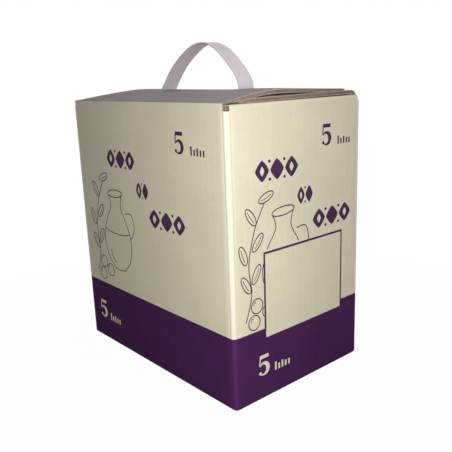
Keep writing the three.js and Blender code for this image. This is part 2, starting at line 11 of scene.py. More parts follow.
import bmesh
import bpy
import numpy as np
from mathutils import Matrix


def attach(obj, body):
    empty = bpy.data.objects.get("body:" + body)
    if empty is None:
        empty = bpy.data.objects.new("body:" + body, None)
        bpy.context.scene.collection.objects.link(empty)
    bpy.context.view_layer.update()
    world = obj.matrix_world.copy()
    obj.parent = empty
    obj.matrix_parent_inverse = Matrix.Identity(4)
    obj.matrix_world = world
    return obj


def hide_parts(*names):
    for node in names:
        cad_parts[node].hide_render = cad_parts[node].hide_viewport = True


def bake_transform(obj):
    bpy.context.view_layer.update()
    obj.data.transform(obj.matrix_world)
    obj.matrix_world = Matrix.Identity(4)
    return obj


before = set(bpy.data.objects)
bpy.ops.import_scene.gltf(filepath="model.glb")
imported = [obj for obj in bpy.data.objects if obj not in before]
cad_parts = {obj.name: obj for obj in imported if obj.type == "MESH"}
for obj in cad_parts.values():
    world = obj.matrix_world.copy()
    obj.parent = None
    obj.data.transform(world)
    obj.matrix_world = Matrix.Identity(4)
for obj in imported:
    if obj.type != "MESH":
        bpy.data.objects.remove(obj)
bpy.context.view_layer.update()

bl_info = {
    "name": "Bag in box carton",
    "version": (1, 0, 0),
    "blender": (4, 5, 0),
    "location": "3D View > Sidebar > Carton",
    "description": "Corrugated carton with a carry strap, round a filled bag with a tap",
    "category": "Add Mesh",
}

MM = 0.001
CARTON_BODY = "carton_body"
FLAP_BODY = "top_flap_body"
FRONT, RIGHT, REAR, LEFT = range(4)

# Lengths in mm that several defaults and shapes share
BOARD = 2.8
FOLD_HEIGHT = 220.0
STRAP_THICKNESS = 0.9

# Shares of the board's thickness at which its cut edge steps, and how deep each step lies
RIM_SHARES = (0.0, 0.14, 0.17, 0.83, 0.86, 1.0)
RIM_DEPTHS = (0.0, 0.0, 1.0, 1.0, 0.0, 0.0)

# The fluted sheet at a cut edge, in mm; its swing is a share of the board's thickness
FLUTE_PITCH = 6.4
FLUTE_SWING = 0.29
FLUTE_HALF = 0.16
FLUTE_START, FLUTE_END = 0.12, 1.5
FLUTE_MARGIN = 0.4
FLUTE_STEP = 0.5

# How far printed ornaments stand out from the wall, in mm
INK_LIFT = 0.05

# Distances between the points of the grids, in mm
WALL_STEP = 3.2
PANEL_STEP = 4.0
BOTTOM_STEP = 6.0
ARCH_STEP = 2.6
STRAP_STEP = 0.3


def length(default, name, description):
    """A length in metres that a user would change."""
    return bpy.props.FloatProperty(
        name=name,
        description=description,
        default=default * MM,
        min=0.0,
        unit="LENGTH",
        precision=5,
    )


def plain(default, name, description):
    """A plain number that a user would change."""
    return bpy.props.FloatProperty(name=name, description=description, default=default)


def colour(default, name, description):
    """A colour, written as it shows on a screen and kept as light."""
    return bpy.props.FloatVectorProperty(
        name=name,
        description=description,
        default=tuple(screen_to_light(c / 255) for c in default),
        min=0.0,
        max=1.0,
        size=3,
        subtype="COLOR",
    )


def screen_to_light(value):
    """A screen value from 0 to 1 as an amount of light."""
    return value / 12.92 if value <= 0.04045 else ((value + 0.055) / 1.055) ** 2.4


class CARTON_PG_sizes(bpy.types.PropertyGroup):
    """Sizes of the folded board."""

    width: length(140, "Width", "Outside width along X")
    depth: length(206, "Length", "Outside length along Y")
    fold_height: length(FOLD_HEIGHT, "Fold height", "Height of the top fold line above the floor")
    board: length(BOARD, "Board", "Thickness of the corrugated board")
    corner_radius: length(3.2, "Corner radius", "Outside radius of the upright folds")
    band_height: length(55.8, "Band height", "Height of the dark printed band, at mid width")
    wall_bow: length(0.5, "Wall bow", "How far the filled bag presses the walls out")
    crease_dent: length(0.22, "Crease dent", "Depth of the score lines beside the upright folds")


class CARTON_PG_flap(bpy.types.PropertyGroup):
    """Sizes of the outer top flap, which arches over the strap's anchors."""

    reach: length(125, "Reach", "Width of the flap from its crease to its free edge")
    edge_rise: length(4.1, "Edge rise", "Height of the free edge above the fold line")
    crest_reach_front: length(56, "Front crest", "Distance of the crest from the crease, in front")
    crest_reach_rear: length(68, "Rear crest", "Distance of the crest from the crease, at the rear")


class CARTON_PG_strap(bpy.types.PropertyGroup):
    """Sizes of the carry strap."""

    width: length(16, "Width", "Width of the strap")
    thickness: length(STRAP_THICKNESS, "Thickness", "Thickness of the strap")
    apex: length(263.4, "Apex", "Height of the bow above the floor")
    rib_pitch: length(1.5, "Rib pitch", "Distance between the fine ribs on the inner side")


class CARTON_PG_colours(bpy.types.PropertyGroup):
    """Colours of board, print and plastics."""

    cream: colour((240, 233, 208), "Cream", "Pale flood print on the walls")
    purple: colour((81, 43, 92), "Purple", "Band round the foot")
    ink: colour((78, 50, 84), "Ink", "Frame, ornaments and drawing")
    liner: colour((178, 168, 170), "Liner", "Bare paper on the outside of the top flaps")
    kraft: colour((174, 152, 134), "Kraft", "Bare paper on the inside")
    cut_liner: colour((204, 190, 179), "Cut liner", "Cut edge of the paper liners")
    cut_flute: colour((160, 140, 125), "Cut flute", "Cut edge of the fluted sheet")
    strap: colour((248, 237, 248), "Strap", "Milky plastic of the carry strap")
    film: colour((200, 203, 208), "Film", "Metallised film of the bag")
    spout: colour((238, 236, 226), "Spout", "White plastic of spout and stem")
    tap: colour((46, 43, 48), "Tap", "Dark plastic of the tap")
    button: colour((142, 30, 52), "Button", "Soft plastic of the button")


class CARTON_PG_stage(bpy.types.PropertyGroup):
    """Floor, camera and light."""

    lens: plain(47.644, "Lens", "Focal length for a 36 mm frame, in mm")
    key_power: plain(1.38, "Key power", "Power of the lamp beside the camera, in watts")
    top_power: plain(1.75, "Top power", "Power of the wide lamp above, in watts")
    rear_power: plain(0.9, "Rear power", "Power of the weak lamp behind, in watts")
    ambient: plain(0.02, "Ambient", "Strength of the even light all round")


def sizes_in_mm(group):
    """The lengths of a property group in millimetres."""
    return SimpleNamespace(**{name: getattr(group, name) / MM for name in group.__annotations__})


# Walls, slots at the corners and the open glue seam, in mm; heights are above the floor
SLOT_REACH = 3.3
PANEL_TOP = 216.0
SLOT_FLOOR = 214.9
SLOT_HALF = 2.62
BOTTOM_SLOT = 0.6
BOTTOM_RADIUS = 1.8
WALL_CHAMFER = 0.25
WALL_FOOT = (0, 0.1, 0.35, 0.75, 1.25, 1.8, 2.6, 4.0)
WALL_MIDDLE = (7, 208)
WALL_HEAD = (211, 213.5, 215, PANEL_TOP)
INNER_SWELL = 0.6
RIM_DROP = 0.6
FOLD_STEPS = (0, 0.4, 0.8, 1.2, 1.6, 2.2, 3.0, 4.2)
SEAM = (98.8, 99.6)
SEAM_LIP = 0.06
SEAM_DEPTH = 2.0
SEAM_HEIGHTS = (9.8, 205.0)
GLUE_WIDTH = 32.0

# Dust flaps, lower top flap and bottom flaps: lengths in mm, and the lower flap's slope
REST_GAP = 0.3
DUST_TOP = 218.9
DUST_RADIUS = 2.0
DUST_LENGTH = 69.0
LOWER_RADIUS = 8.0
LOWER_TILT = 0.006
LOWER_SHORTFALL = 16.0
LOWER_CRUSH = 1.35
LOWER_CRUSH_LENGTH = 12.0
BOTTOM_SEAM_HALF = 0.4
BOTTOM_MARGIN = 0.8
BOTTOM_INNER = 67.0

# Outer top flap: crease, thin lip beside it, spring, lifts over the anchors, curl and slots.
# Lengths are in mm; springs and fall are powers, CURL_END and CURL_SHARE are shares
HINGE_TOP = 219.3
CREASE_HEIGHT = 219.6
CREASE_THICKNESS = 0.9
CREASE_DROP = 0.4
HINGE_EDGE = 1.0
HINGE_LIP = 0.25
HINGE_SLOPE = 0.5
SPRING_FRONT, SPRING_REAR = 2.0, 1.3
FALL_POWER = 1.2
CREST_GAP = 0.4
ANCHOR_EXTRA = 0.3
ANCHOR_LIFT_WIDTH = 33.0
CURL_LENGTH = 7.0
CURL_END = 2.5
CURL_SHARE = 0.85
STRAP_LINE = 70.0
SLOT_SIDES = (61.2, 78.8)
SLOT_INNER, SLOT_OUTER = 1.0, 1.5
SKIN_LIFT = 0.07
SKIN_LOWEST = 220.3

# Carry strap, in mm
FRONT_FOOT = -47.0
REAR_FOOT = 54.0
TAB_LENGTH = 30.0
HEAD_WIDTH = 24.0
HEAD_LENGTH = 8.0
BEND_RADIUS = 1.2
RIB_HALF_HEIGHT = 0.12

# Filled bag, its pocket round the tap, and the ring of cuts in the rear wall, in mm
BAG_HALF = (63.8, 99.6, 102.9)
BAG_RADIUS = 12.0
BAG_MIDDLE = 108.8
TAP_HEIGHT = 48.0
POCKET_RADIUS = 37.0
POCKET_SLOPE = 5.0
POCKET_START, POCKET_WALL = 54.9, 54.7
KNOCKOUT_RADIUS = 24.0
KNOCKOUT_CUTS = 18


def points_at(*coordinates):
    """Points from their coordinates; a plain number stands for all of them."""
    return np.stack(np.broadcast_arrays(*coordinates), -1)


def unit(vectors):
    """Vectors brought to length one; one without length stays as it is."""
    return vectors / np.maximum(np.linalg.norm(vectors, axis=-1, keepdims=True), 1e-9)


def signed_power(values, power):
    """Values raised to a power with their signs kept."""
    return np.sign(values) * np.abs(values) ** power


def run_along(line):
    """The distance along a line from its start to each of its points."""
    return np.concatenate([[0], np.cumsum(np.linalg.norm(np.diff(line, axis=0), axis=1))])


def places_on(line, run, at):
    """The places on a line at given distances from its start."""
    return points_at(*[np.interp(at, run, coordinate) for coordinate in line.T])


def grid_quads(rows, columns, close_rows=False, close_columns=False):
    """Quads that join each point of a grid to the next ones, as an array of four indices."""
    index = np.arange(rows * columns).reshape(rows, columns)
    if close_rows:
        index = np.vstack([index, index[:1]])
    if close_columns:
        index = np.hstack([index, index[:, :1]])
    corners = (index[:-1, :-1], index[:-1, 1:], index[1:, 1:], index[1:, :-1])
    return points_at(*corners).reshape(-1, 4)


class Sheets:
    """Collects grids of points with a finish for each quad, and makes one mesh of them."""

    def __init__(self):
        self.points, self.quads, self.finishes, self.count = [], [], [], 0

    def add(self, points, quads, finish):
        """points is (n, 3) in mm, quads (m, 4), finish one number or one for each quad."""
        points = np.asarray(points, float).reshape(-1, 3)
        self.points.append(points)
        self.quads.append(quads + self.count)
        self.finishes.append(np.broadcast_to(finish, len(quads)).astype(np.int32))
        self.count += len(points)

    def add_grid(self, points, finish, close_rows=False, close_columns=False, keep=None):
        """A grid of points (rows, columns, 3); keep is a mask of the cells that stay."""
        quads = grid_quads(*points.shape[:2], close_rows, close_columns)
        finish = np.broadcast_to(finish, len(quads))
        if keep is not None:
            quads, finish = quads[keep.ravel()], finish[keep.ravel()]
        self.add(points, quads, finish)

    def build(self, name, materials, smooth_degrees=38, closed=True):
        """One object at the origin with its doubles merged and its faces turned outwards."""
        points = np.vstack(self.points) * MM
        quads = np.vstack(self.quads)
        mesh = bpy.data.meshes.new(name)
        mesh.vertices.add(len(points))
        mesh.vertices.foreach_set("co", points.astype(np.float32).ravel())
        mesh.loops.add(quads.size)
        mesh.loops.foreach_set("vertex_index", quads.astype(np.int32).ravel())
        mesh.polygons.add(len(quads))
        mesh.polygons.foreach_set("loop_start", np.arange(0, quads.size, 4, dtype=np.int32))
        mesh.polygons.foreach_set("material_index", np.concatenate(self.finishes))
        for material in materials:
            mesh.materials.append(material)
        mesh.update(calc_edges=True)
        work = bmesh.new()
        work.from_mesh(mesh)
        bmesh.ops.remove_doubles(work, verts=work.verts, dist=2e-6)
        bmesh.ops.dissolve_degenerate(work, edges=work.edges, dist=1e-6)
        if closed:
            bmesh.ops.recalc_face_normals(work, faces=work.faces)
        work.to_mesh(mesh)
        work.free()
        mesh.validate()
        mesh.shade_smooth()
        mesh.set_sharp_from_angle(angle=math.radians(smooth_degrees))
        made = bpy.data.objects.new(name, mesh)
        bpy.context.scene.collection.objects.link(made)
        return made


def border_loop(rows, columns):
    """Row and column indices once round the border of a grid."""
    down, across = np.arange(rows), np.arange(columns)
    i = np.concatenate([0 * across[:-1], down[:-1], 0 * across[:-1] + rows - 1, down[:0:-1]])
    j = np.concatenate([across[:-1], 0 * down[:-1] + columns - 1, across[:0:-1], 0 * down[:-1]])
    return i, j


def inward_from_border(face, i, j):
    """Unit steps from each border point to the inside of the grid, diagonal at the corners."""
    rows, columns = face.shape[:2]
    down = (i == 0).astype(int) - (i == rows - 1).astype(int)
    across = (j == 0).astype(int) - (j == columns - 1).astype(int)
    step = np.zeros((len(i), 3))
    for di, dj in ((down, 0 * across), (0 * down, across)):
        step += unit(face[i + di, j + dj] - face[i, j])
    return step


def add_board(sheets, outside, inside, finishes, depth=0.55, holes=()):
    """A plate of corrugated board between two grids of the same size.

    Its cut edge runs from the outer liner over a hollow at the flutes to the inner liner: rows of
    points at shares of the thickness, moved inwards by a depth. finishes are the numbers of the
    outside, the inside, the cut liner and the cut flute. holes are blocks of cells left out.
    """
    outer_finish, inner_finish, cut_finish, flute_finish = finishes
    rows, columns = outside.shape[:2]
    keep = np.ones((rows - 1, columns - 1), bool)
    for top, bottom, left, right in holes:
        keep[top:bottom, left:right] = False
    sheets.add_grid(outside, outer_finish, keep=keep)
    sheets.add_grid(inside, inner_finish, keep=keep)
    loops = [(border_loop(rows, columns), 1.0)]
    for top, bottom, left, right in holes:
        i, j = border_loop(bottom - top + 1, right - left + 1)
        loops.append(((i + top, j + left), 0.0))
    shares = np.array(RIM_SHARES)[:, None, None]
    for (i, j), hollow in loops:
        inward = inward_from_border(outside, i, j) if hollow else np.zeros((len(i), 3))
        depths = np.array(RIM_DEPTHS)[:, None, None] * depth * hollow
        rim = outside[i, j] * (1 - shares) + inside[i, j] * shares + depths * inward
        kinds = np.array([cut_finish, flute_finish, flute_finish, flute_finish, cut_finish])
        sheets.add_grid(rim, np.repeat(kinds, len(i)), close_columns=True)


def add_flutes(sheets, outer_edge, inner_edge, inward, finish):
    """The wavy sheet that shows at an edge cut across the flutes.

    The wave runs along the edge as a sine between the two liners, and reaches back into the board.
    outer_edge and inner_edge are the edge's two lines, inward the way into the board.
    """
    run = run_along(outer_edge)
    at = np.linspace(FLUTE_MARGIN, run[-1] - FLUTE_MARGIN, int(run[-1] / FLUTE_STEP))
    outer, inner = places_on(outer_edge, run, at), places_on(inner_edge, run, at)
    across = inner - outer
    wave = 0.5 + FLUTE_SWING * np.sin(2 * math.pi * at / FLUTE_PITCH)
    middle = outer + across * wave[:, None]
    half = unit(across) * FLUTE_HALF
    near, far = np.outer((FLUTE_START, FLUTE_END), inward)
    tube = np.stack(
        [middle - half + near, middle + half + near, middle + half + far, middle - half + far]
    )
    sheets.add_grid(tube, finish, close_rows=True)
    for end in (0, -1):
        sheets.add(tube[:, end], np.array([[0, 1, 2, 3]]), finish)


def strips(start, stop, step, *extra):
    """Evenly spaced places from start to stop, with some exact ones added."""
    count = max(2, int(round((stop - start) / step)) + 1)
    return np.unique(np.round(np.concatenate([np.linspace(start, stop, count), extra]), 4))


def wall_line(sizes):
    """The outside of the walls seen from above, as points, normals, side and place on the side.

    Four straight sides joined by quarter circles; places are finer beside the folds.
    """
    half_x, half_y, radius = sizes.width / 2, sizes.depth / 2, sizes.corner_radius
    turn = np.linspace(0, math.pi / 2, 11)[1:-1]
    columns = []
    for side in range(4):
        reach = (half_x, half_y)[side % 2] - radius
        near = reach - np.array(FOLD_STEPS)
        extra = np.concatenate([near, -near])
        if side == RIGHT:
            low, high = SEAM
            extra = np.concatenate([extra, [low - SEAM_LIP, low, high, high + SEAM_LIP]])
        along = strips(-reach, reach, WALL_STEP, *extra)
        direction = np.array([(1, 0), (0, 1), (-1, 0), (0, -1)][side], float)
        normal = np.array([(0, -1), (1, 0), (0, 1), (-1, 0)][side], float)
        off = (half_y, half_x)[side % 2]
        points = along[:, None] * direction + normal * off
        normals = np.repeat(normal[None], len(along), 0)
        gap = reach - np.abs(along) + radius * math.pi / 4
        columns.append((points, normals, np.full(len(along), side), along, gap))
        centre = direction * reach + normal * (off - radius)
        ray = np.cos(turn)[:, None] * normal + np.sin(turn)[:, None] * direction
        arc_gap = np.abs(turn - math.pi / 4) * radius
        arc = (centre + radius * ray, ray, np.full(len(turn), -1), 0 * turn, arc_gap)
        columns.append(arc)
    joined = [np.concatenate(part) for part in zip(*columns)]
    return SimpleNamespace(**dict(zip(("points", "normals", "side", "along", "gap"), joined)))


def wall_swell(sizes, side, along, z):
    """How far a wall stands out, in mm, at a place along it and a height.

    A half sine bow both ways, small uneven waves, and two dents for the score lines at its ends.
    """
    reach = np.where(side % 2 == 0, sizes.width, sizes.depth) / 2 - sizes.corner_radius
    inside = side >= 0
    share = np.clip(along / reach, -1, 1)
    up = np.clip(z / PANEL_TOP, 0, 1)
    bow = sizes.wall_bow * np.cos(share * math.pi / 2) * np.sin(up * math.pi)
    phase = 1.7 * side
    wave = np.sin(along * 0.051 + phase + up * 3.0) * np.sin(up * 7.0 + phase) * 0.12
    wave = wave + np.sin(along * 0.13 + 2.0 * phase) * np.sin(up * 17.0 - phase) * 0.04
    wave = wave * np.cos(share * math.pi / 2) * np.sin(up * math.pi)
    dent = sizes.crease_dent * np.exp(-(((reach - np.abs(along) - 0.8) / 0.7) ** 2))
    return np.where(inside, bow + wave - dent, 0.0)


def walls(sheets, sizes, finishes):
    """The four walls as one closed ring of board.

    Columns follow the outside line, rows go up the outside, over the cut top edge, down the
    inside and back under. The bottom is a quarter circle; the tops of the corners are hollowed
    by an arc for the slots. One narrow dent all the way up is the open glue seam.
    """
    line = wall_line(sizes)
    at_corner = line.gap < SLOT_HALF
    arc = np.sqrt(np.clip(1 - (line.gap / SLOT_HALF) ** 2, 0, 1))
    top = np.where(at_corner, PANEL_TOP - (PANEL_TOP - SLOT_FLOOR) * arc, PANEL_TOP)
    bottom = np.where(at_corner, BOTTOM_SLOT * arc, 0.0)
    rise = np.concatenate([WALL_FOOT, strips(*WALL_MIDDLE, PANEL_STEP), WALL_HEAD])
    z = bottom + (top - bottom) * (rise / PANEL_TOP)[:, None]
    side = np.broadcast_to(line.side, z.shape)
    along = np.broadcast_to(line.along, z.shape)
    swell = wall_swell(sizes, side, along, z)
    under = np.clip(BOTTOM_RADIUS - z, 0, BOTTOM_RADIUS)
    tuck = BOTTOM_RADIUS - np.sqrt(BOTTOM_RADIUS**2 - under**2)
    low, high = SEAM_HEIGHTS
    in_seam = (side == RIGHT) & (along >= SEAM[0]) & (along <= SEAM[1]) & (z > low) & (z < high)
    off = swell - tuck - np.where(in_seam, SEAM_DEPTH, 0.0)

    def at(offset, height):
        flat = line.points + line.normals * offset[..., None]
        return np.concatenate([flat, height[..., None]], -1)

    outside = at(off, z)
    inner_off = np.minimum(swell, INNER_SWELL) - sizes.board
    inside = at(inner_off, np.maximum(z, BOTTOM_RADIUS))[::-1]
    shares, depths = np.array((RIM_SHARES, RIM_DEPTHS))[:, 1:-1, None, None]
    rim = outside[-1] + (inside[0] - outside[-1]) * shares
    rim = rim - depths * np.array([0, 0, RIM_DROP])
    loop = np.concatenate([outside, rim, inside])
    rows, inner_rows = len(outside), len(inside)
    outer_finish, inner_finish, cut_finish, flute_finish = finishes
    kinds = [outer_finish] * (rows - 1) + [cut_finish] + [flute_finish] * 3 + [cut_finish]
    kinds += [inner_finish] * (inner_rows - 1) + [cut_finish]
    sheets.add_grid(loop, np.repeat(kinds, loop.shape[1]), close_rows=True, close_columns=True)


def sweep(section, places, axis):
    """Points of a line in a plane across axis, repeated at places along it. (n, m, 3)."""
    rows, columns = len(section), len(places)
    out = np.zeros((rows, columns, 3))
    first, second = [k for k in range(3) if k != axis]
    out[..., axis] = places
    out[..., first] = section[:, :1]
    out[..., second] = section[:, 1:]
    return out


def quarter(centre_x, centre_z, radius, start, stop, count=8):
    """Points on an arc between two angles in degrees."""
    angle = np.radians(np.linspace(start, stop, count))
    return points_at(centre_x + radius * np.cos(angle), centre_z + radius * np.sin(angle))


def dust_flap(sheets, sizes, finishes, sign):
    """A short wall's top: up, round a small quarter circle, and inwards as a level flap.

    sign is -1 for the front wall and 1 for the rear one.
    """
    half_y, reach = sizes.depth / 2, sizes.width / 2 - SLOT_REACH
    fold = quarter(half_y - DUST_RADIUS, DUST_TOP - DUST_RADIUS, DUST_RADIUS, 0, 90)
    level = np.linspace(half_y - DUST_RADIUS, half_y - DUST_LENGTH, 24)[1:]
    outer = np.vstack([[half_y, PANEL_TOP], fold, points_at(level, DUST_TOP)])
    wall_y = half_y - sizes.board
    inner_z = np.where(outer[:, 0] > wall_y, DUST_TOP, outer[:, 1]) - sizes.board
    inner = points_at(np.minimum(outer[:, 0], wall_y), inner_z)
    inner[0] = (wall_y, PANEL_TOP)
    for section in (outer, inner):
        section[:, 0] *= sign
    across = strips(-reach, reach, PANEL_STEP)
    add_board(sheets, sweep(outer, across, 0), sweep(inner, across, 0), finishes)


def lower_flap_top(distance):
    """Height of the lower flap's upper face: a slight tilt, and a crushed free edge."""
    full = DUST_TOP + REST_GAP + BOARD + LOWER_TILT * (distance - LOWER_SHORTFALL)
    share = np.clip((distance - LOWER_SHORTFALL) / LOWER_CRUSH_LENGTH, 0, 1)
    return full - LOWER_CRUSH * (1 - share)


def lower_flap(sheets, sizes, finishes):
    """The +X wall's top: round a quarter circle, and across as the lower top flap."""
    half_x, reach = sizes.width / 2, sizes.depth / 2 - SLOT_REACH
    start = sizes.width - LOWER_RADIUS
    top = float(lower_flap_top(start))
    fold = quarter(half_x - LOWER_RADIUS, top - LOWER_RADIUS, LOWER_RADIUS, 0, 90, 12)
    crush_end = LOWER_SHORTFALL + LOWER_CRUSH_LENGTH
    distance = strips(LOWER_SHORTFALL, start, PANEL_STEP, crush_end)[::-1][1:]
    level = points_at(distance - half_x, lower_flap_top(distance))
    outer = np.vstack([[half_x, PANEL_TOP], fold, level])
    wall_x = half_x - sizes.board
    fold_ends = (wall_x, top - LOWER_RADIUS), (half_x - LOWER_RADIUS, top - sizes.board)
    share = (distance - LOWER_SHORTFALL) / (start - LOWER_SHORTFALL)
    lowest = DUST_TOP + REST_GAP
    under = lowest + (top - sizes.board - lowest) * share
    level = points_at(distance - half_x, under)
    inner = np.vstack([[wall_x, PANEL_TOP], np.linspace(*fold_ends, 12), level])
    along = strips(-reach, reach, PANEL_STEP)
    outside, inside = sweep(outer, along, 1), sweep(inner, along, 1)
    add_board(sheets, outside, inside, finishes, depth=0.8)
    add_flutes(sheets, outside[-1], inside[-1], (1, 0, 0), finishes[2])


def hinge_wall(sheets, sizes, finishes):
    """The -X wall's top, up to just under the outer flap's crease."""
    half_x, reach = sizes.width / 2, sizes.depth / 2 - SLOT_REACH
    height = np.array([PANEL_TOP, 217.5, HINGE_TOP - 0.4, HINGE_TOP])
    outer = points_at([-half_x, -half_x, -half_x, WALL_CHAMFER - half_x], height)
    inner = points_at(sizes.board - half_x, height)
    along = strips(-reach, reach, PANEL_STEP)
    add_board(sheets, sweep(outer, along, 1), sweep(inner, along, 1), finishes, depth=0.3)


def bottom_flaps(sheets, sizes, finishes):
    """Two outer flaps that meet at a seam under the carton, and two inner ones on them."""
    half_x, half_y, board = sizes.width / 2, sizes.depth / 2, sizes.board
    reach = half_y - SLOT_REACH - BOTTOM_MARGIN
    along = strips(-reach, reach, BOTTOM_STEP)
    for sign in (-1, 1):
        across = np.linspace(BOTTOM_SEAM_HALF, half_x - BOTTOM_RADIUS, 16) * sign
        outer, inner = (sweep(points_at(across, z), along, 1) for z in (0, board))
        add_board(sheets, outer, inner, finishes, depth=0.8)
        add_flutes(sheets, outer[0], inner[0], (sign, 0, 0), finishes[2])
        depth = np.linspace(half_y - BOTTOM_INNER, half_y - board, 14) * sign
        wide = strips(board - half_x, half_x - board, BOTTOM_STEP)
        outer, inner = (sweep(points_at(depth, z), wide, 0) for z in (board, 2 * board))
        add_board(sheets, outer, inner, (finishes[1], *finishes[1:]), depth=0.8)


def glue_flap(sheets, sizes, finishes):
    """The rear wall's glue flap, flat against the inside of the +X wall."""
    x = sizes.width / 2 - sizes.board
    end = sizes.depth / 2 - sizes.board
    y = strips(end - GLUE_WIDTH, end, PANEL_STEP)
    across, up = np.meshgrid(y, strips(*WALL_MIDDLE, 2 * PANEL_STEP), indexing="ij")
    outer = points_at(x, across, up)
    inner = outer - np.array([sizes.board, 0, 0])
    add_board(sheets, outer, inner, (finishes[1], *finishes[1:]))


def outer_flap_top(flap, sizes, distance, y):
    """Height of the outer flap's upper face.

    Beside the crease it is a thin lip that clears the wall when the flap turns. From there it
    springs as one minus a power to a crest, where two bell shaped lifts stand over the strap's
    anchors, and falls as a power to the free edge. Shallow lines are creases.
    """
    along = (y + sizes.depth / 2) / sizes.depth
    tab_under = lower_flap_top(sizes.width) + REST_GAP
    crest = tab_under + BOARD + CREST_GAP - FOLD_HEIGHT
    anchor_rise = tab_under + STRAP_THICKNESS + REST_GAP + BOARD - FOLD_HEIGHT
    lift = anchor_rise - crest + ANCHOR_EXTRA
    for place in (FRONT_FOOT - TAB_LENGTH, REAR_FOOT + TAB_LENGTH):
        crest = crest + lift * np.exp(-(((y - place) / ANCHOR_LIFT_WIDTH) ** 2))
    reach = flap.crest_reach_front + (flap.crest_reach_rear - flap.crest_reach_front) * along
    power = SPRING_FRONT + (SPRING_REAR - SPRING_FRONT) * along
    rising = crest * (1 - np.clip(1 - distance / reach, 0, 1) ** power)
    share = np.clip((distance - reach) / (flap.reach - reach), 0, 1)
    falling = crest - (crest - flap.edge_rise) * share**FALL_POWER
    rise = np.where(distance < reach, rising, falling)
    rise = np.where(distance < HINGE_EDGE, lip_thickness(distance) - CREASE_DROP, rise)
    fold = fold_line(distance, y, (STRAP_LINE, FRONT_FOOT), (6, 30), 1.1, 0.22)
    fold = fold + fold_line(distance, y, (STRAP_LINE + 2, REAR_FOOT), (30, 99), 1.4, 0.15)
    return sizes.fold_height + rise - fold


def lip_thickness(distance):
    """Thickness of the flap's lip beside its crease, which grows evenly with the distance."""
    return HINGE_LIP + HINGE_SLOPE * distance


def fold_line(distance, y, start, stop, width, depth):
    """Depth of a straight dent between two places on the flap.

    It is a bell across, and fades over a sixth of its length at each end.
    """
    start, stop = np.array(start, float), np.array(stop, float)
    run = stop - start
    size = np.linalg.norm(run)
    dx, dy = distance - start[0], y - start[1]
    share = (dx * run[0] + dy * run[1]) / size**2
    off = (dx * run[1] - dy * run[0]) / size
    fade = np.clip(share * 6, 0, 1) * np.clip((1 - share) * 6, 0, 1)
    return depth * fade * np.exp(-((off / width) ** 2))


def rest_line(distance):
    """The lowest that the outer flap's under face may lie: on the wall, then the lower flap."""
    lap = LOWER_SHORTFALL - 2 * REST_GAP
    lap_top = lower_flap_top(lap) + REST_GAP
    share = np.clip((distance - BOARD) / (lap - BOARD), 0, 1)
    between = CREASE_HEIGHT + (lap_top - CREASE_HEIGHT) * share
    return np.where(distance >= lap, lower_flap_top(distance) + REST_GAP, between)


def outer_flap(sheets, flap, sizes, finishes):
    """The arched outer top flap with its two strap slots.

    Its front edge curls up: the under face falls towards the lower flap over the first few mm.
    """
    reach = sizes.depth / 2 - SLOT_REACH
    slots = [
        (FRONT_FOOT - SLOT_OUTER, FRONT_FOOT + SLOT_INNER),
        (REAR_FOOT - SLOT_INNER, REAR_FOOT + SLOT_OUTER),
    ]
    beside_crease = (0.45, 0.9, 1.8, BOARD, 6)
    over_lower_edge = (15.4, 16.3, LOWER_SHORTFALL + LOWER_CRUSH_LENGTH)
    distance = strips(0, flap.reach, ARCH_STEP, *beside_crease, *over_lower_edge, *SLOT_SIDES)
    y = strips(-reach, reach, ARCH_STEP, *slots[0], *slots[1])
    d, w = np.meshgrid(distance, y, indexing="ij")
    top = outer_flap_top(flap, sizes, d, w)
    under = np.maximum(top - sizes.board, rest_line(d))
    inset = w + reach
    curl = np.clip(inset / CURL_LENGTH, 0, 1) * np.clip(CURL_END - inset / CURL_LENGTH, 0, 1)
    under = under - CURL_SHARE * curl * (under - rest_line(d))
    past_foot = np.maximum(FRONT_FOOT - w, w - REAR_FOOT)
    over_tab = (past_foot > 0) & (past_foot < TAB_LENGTH + 1)
    over_tab = over_tab & (np.abs(d - STRAP_LINE) < HEAD_WIDTH / 2 + 1)
    tab_room = lower_flap_top(sizes.width) + REST_GAP + STRAP_THICKNESS + REST_GAP
    under = np.where(over_tab, np.maximum(under, tab_room), under)
    thinnest = np.where(d < HINGE_EDGE, lip_thickness(d), CREASE_THICKNESS)
    top = np.maximum(top, under + thinnest)
    outside = points_at(d - sizes.width / 2, w, top)
    inside = points_at(d - sizes.width / 2, w, under)
    rows = np.searchsorted(distance, np.array(SLOT_SIDES) - 1e-3)
    holes = [(*rows, *np.searchsorted(y, np.array(slot) - 1e-3)) for slot in slots]
    add_board(sheets, outside, inside, finishes, depth=0.7, holes=holes)
    add_flutes(sheets, outside[-1], inside[-1], (-1, 0, 0), finishes[2])


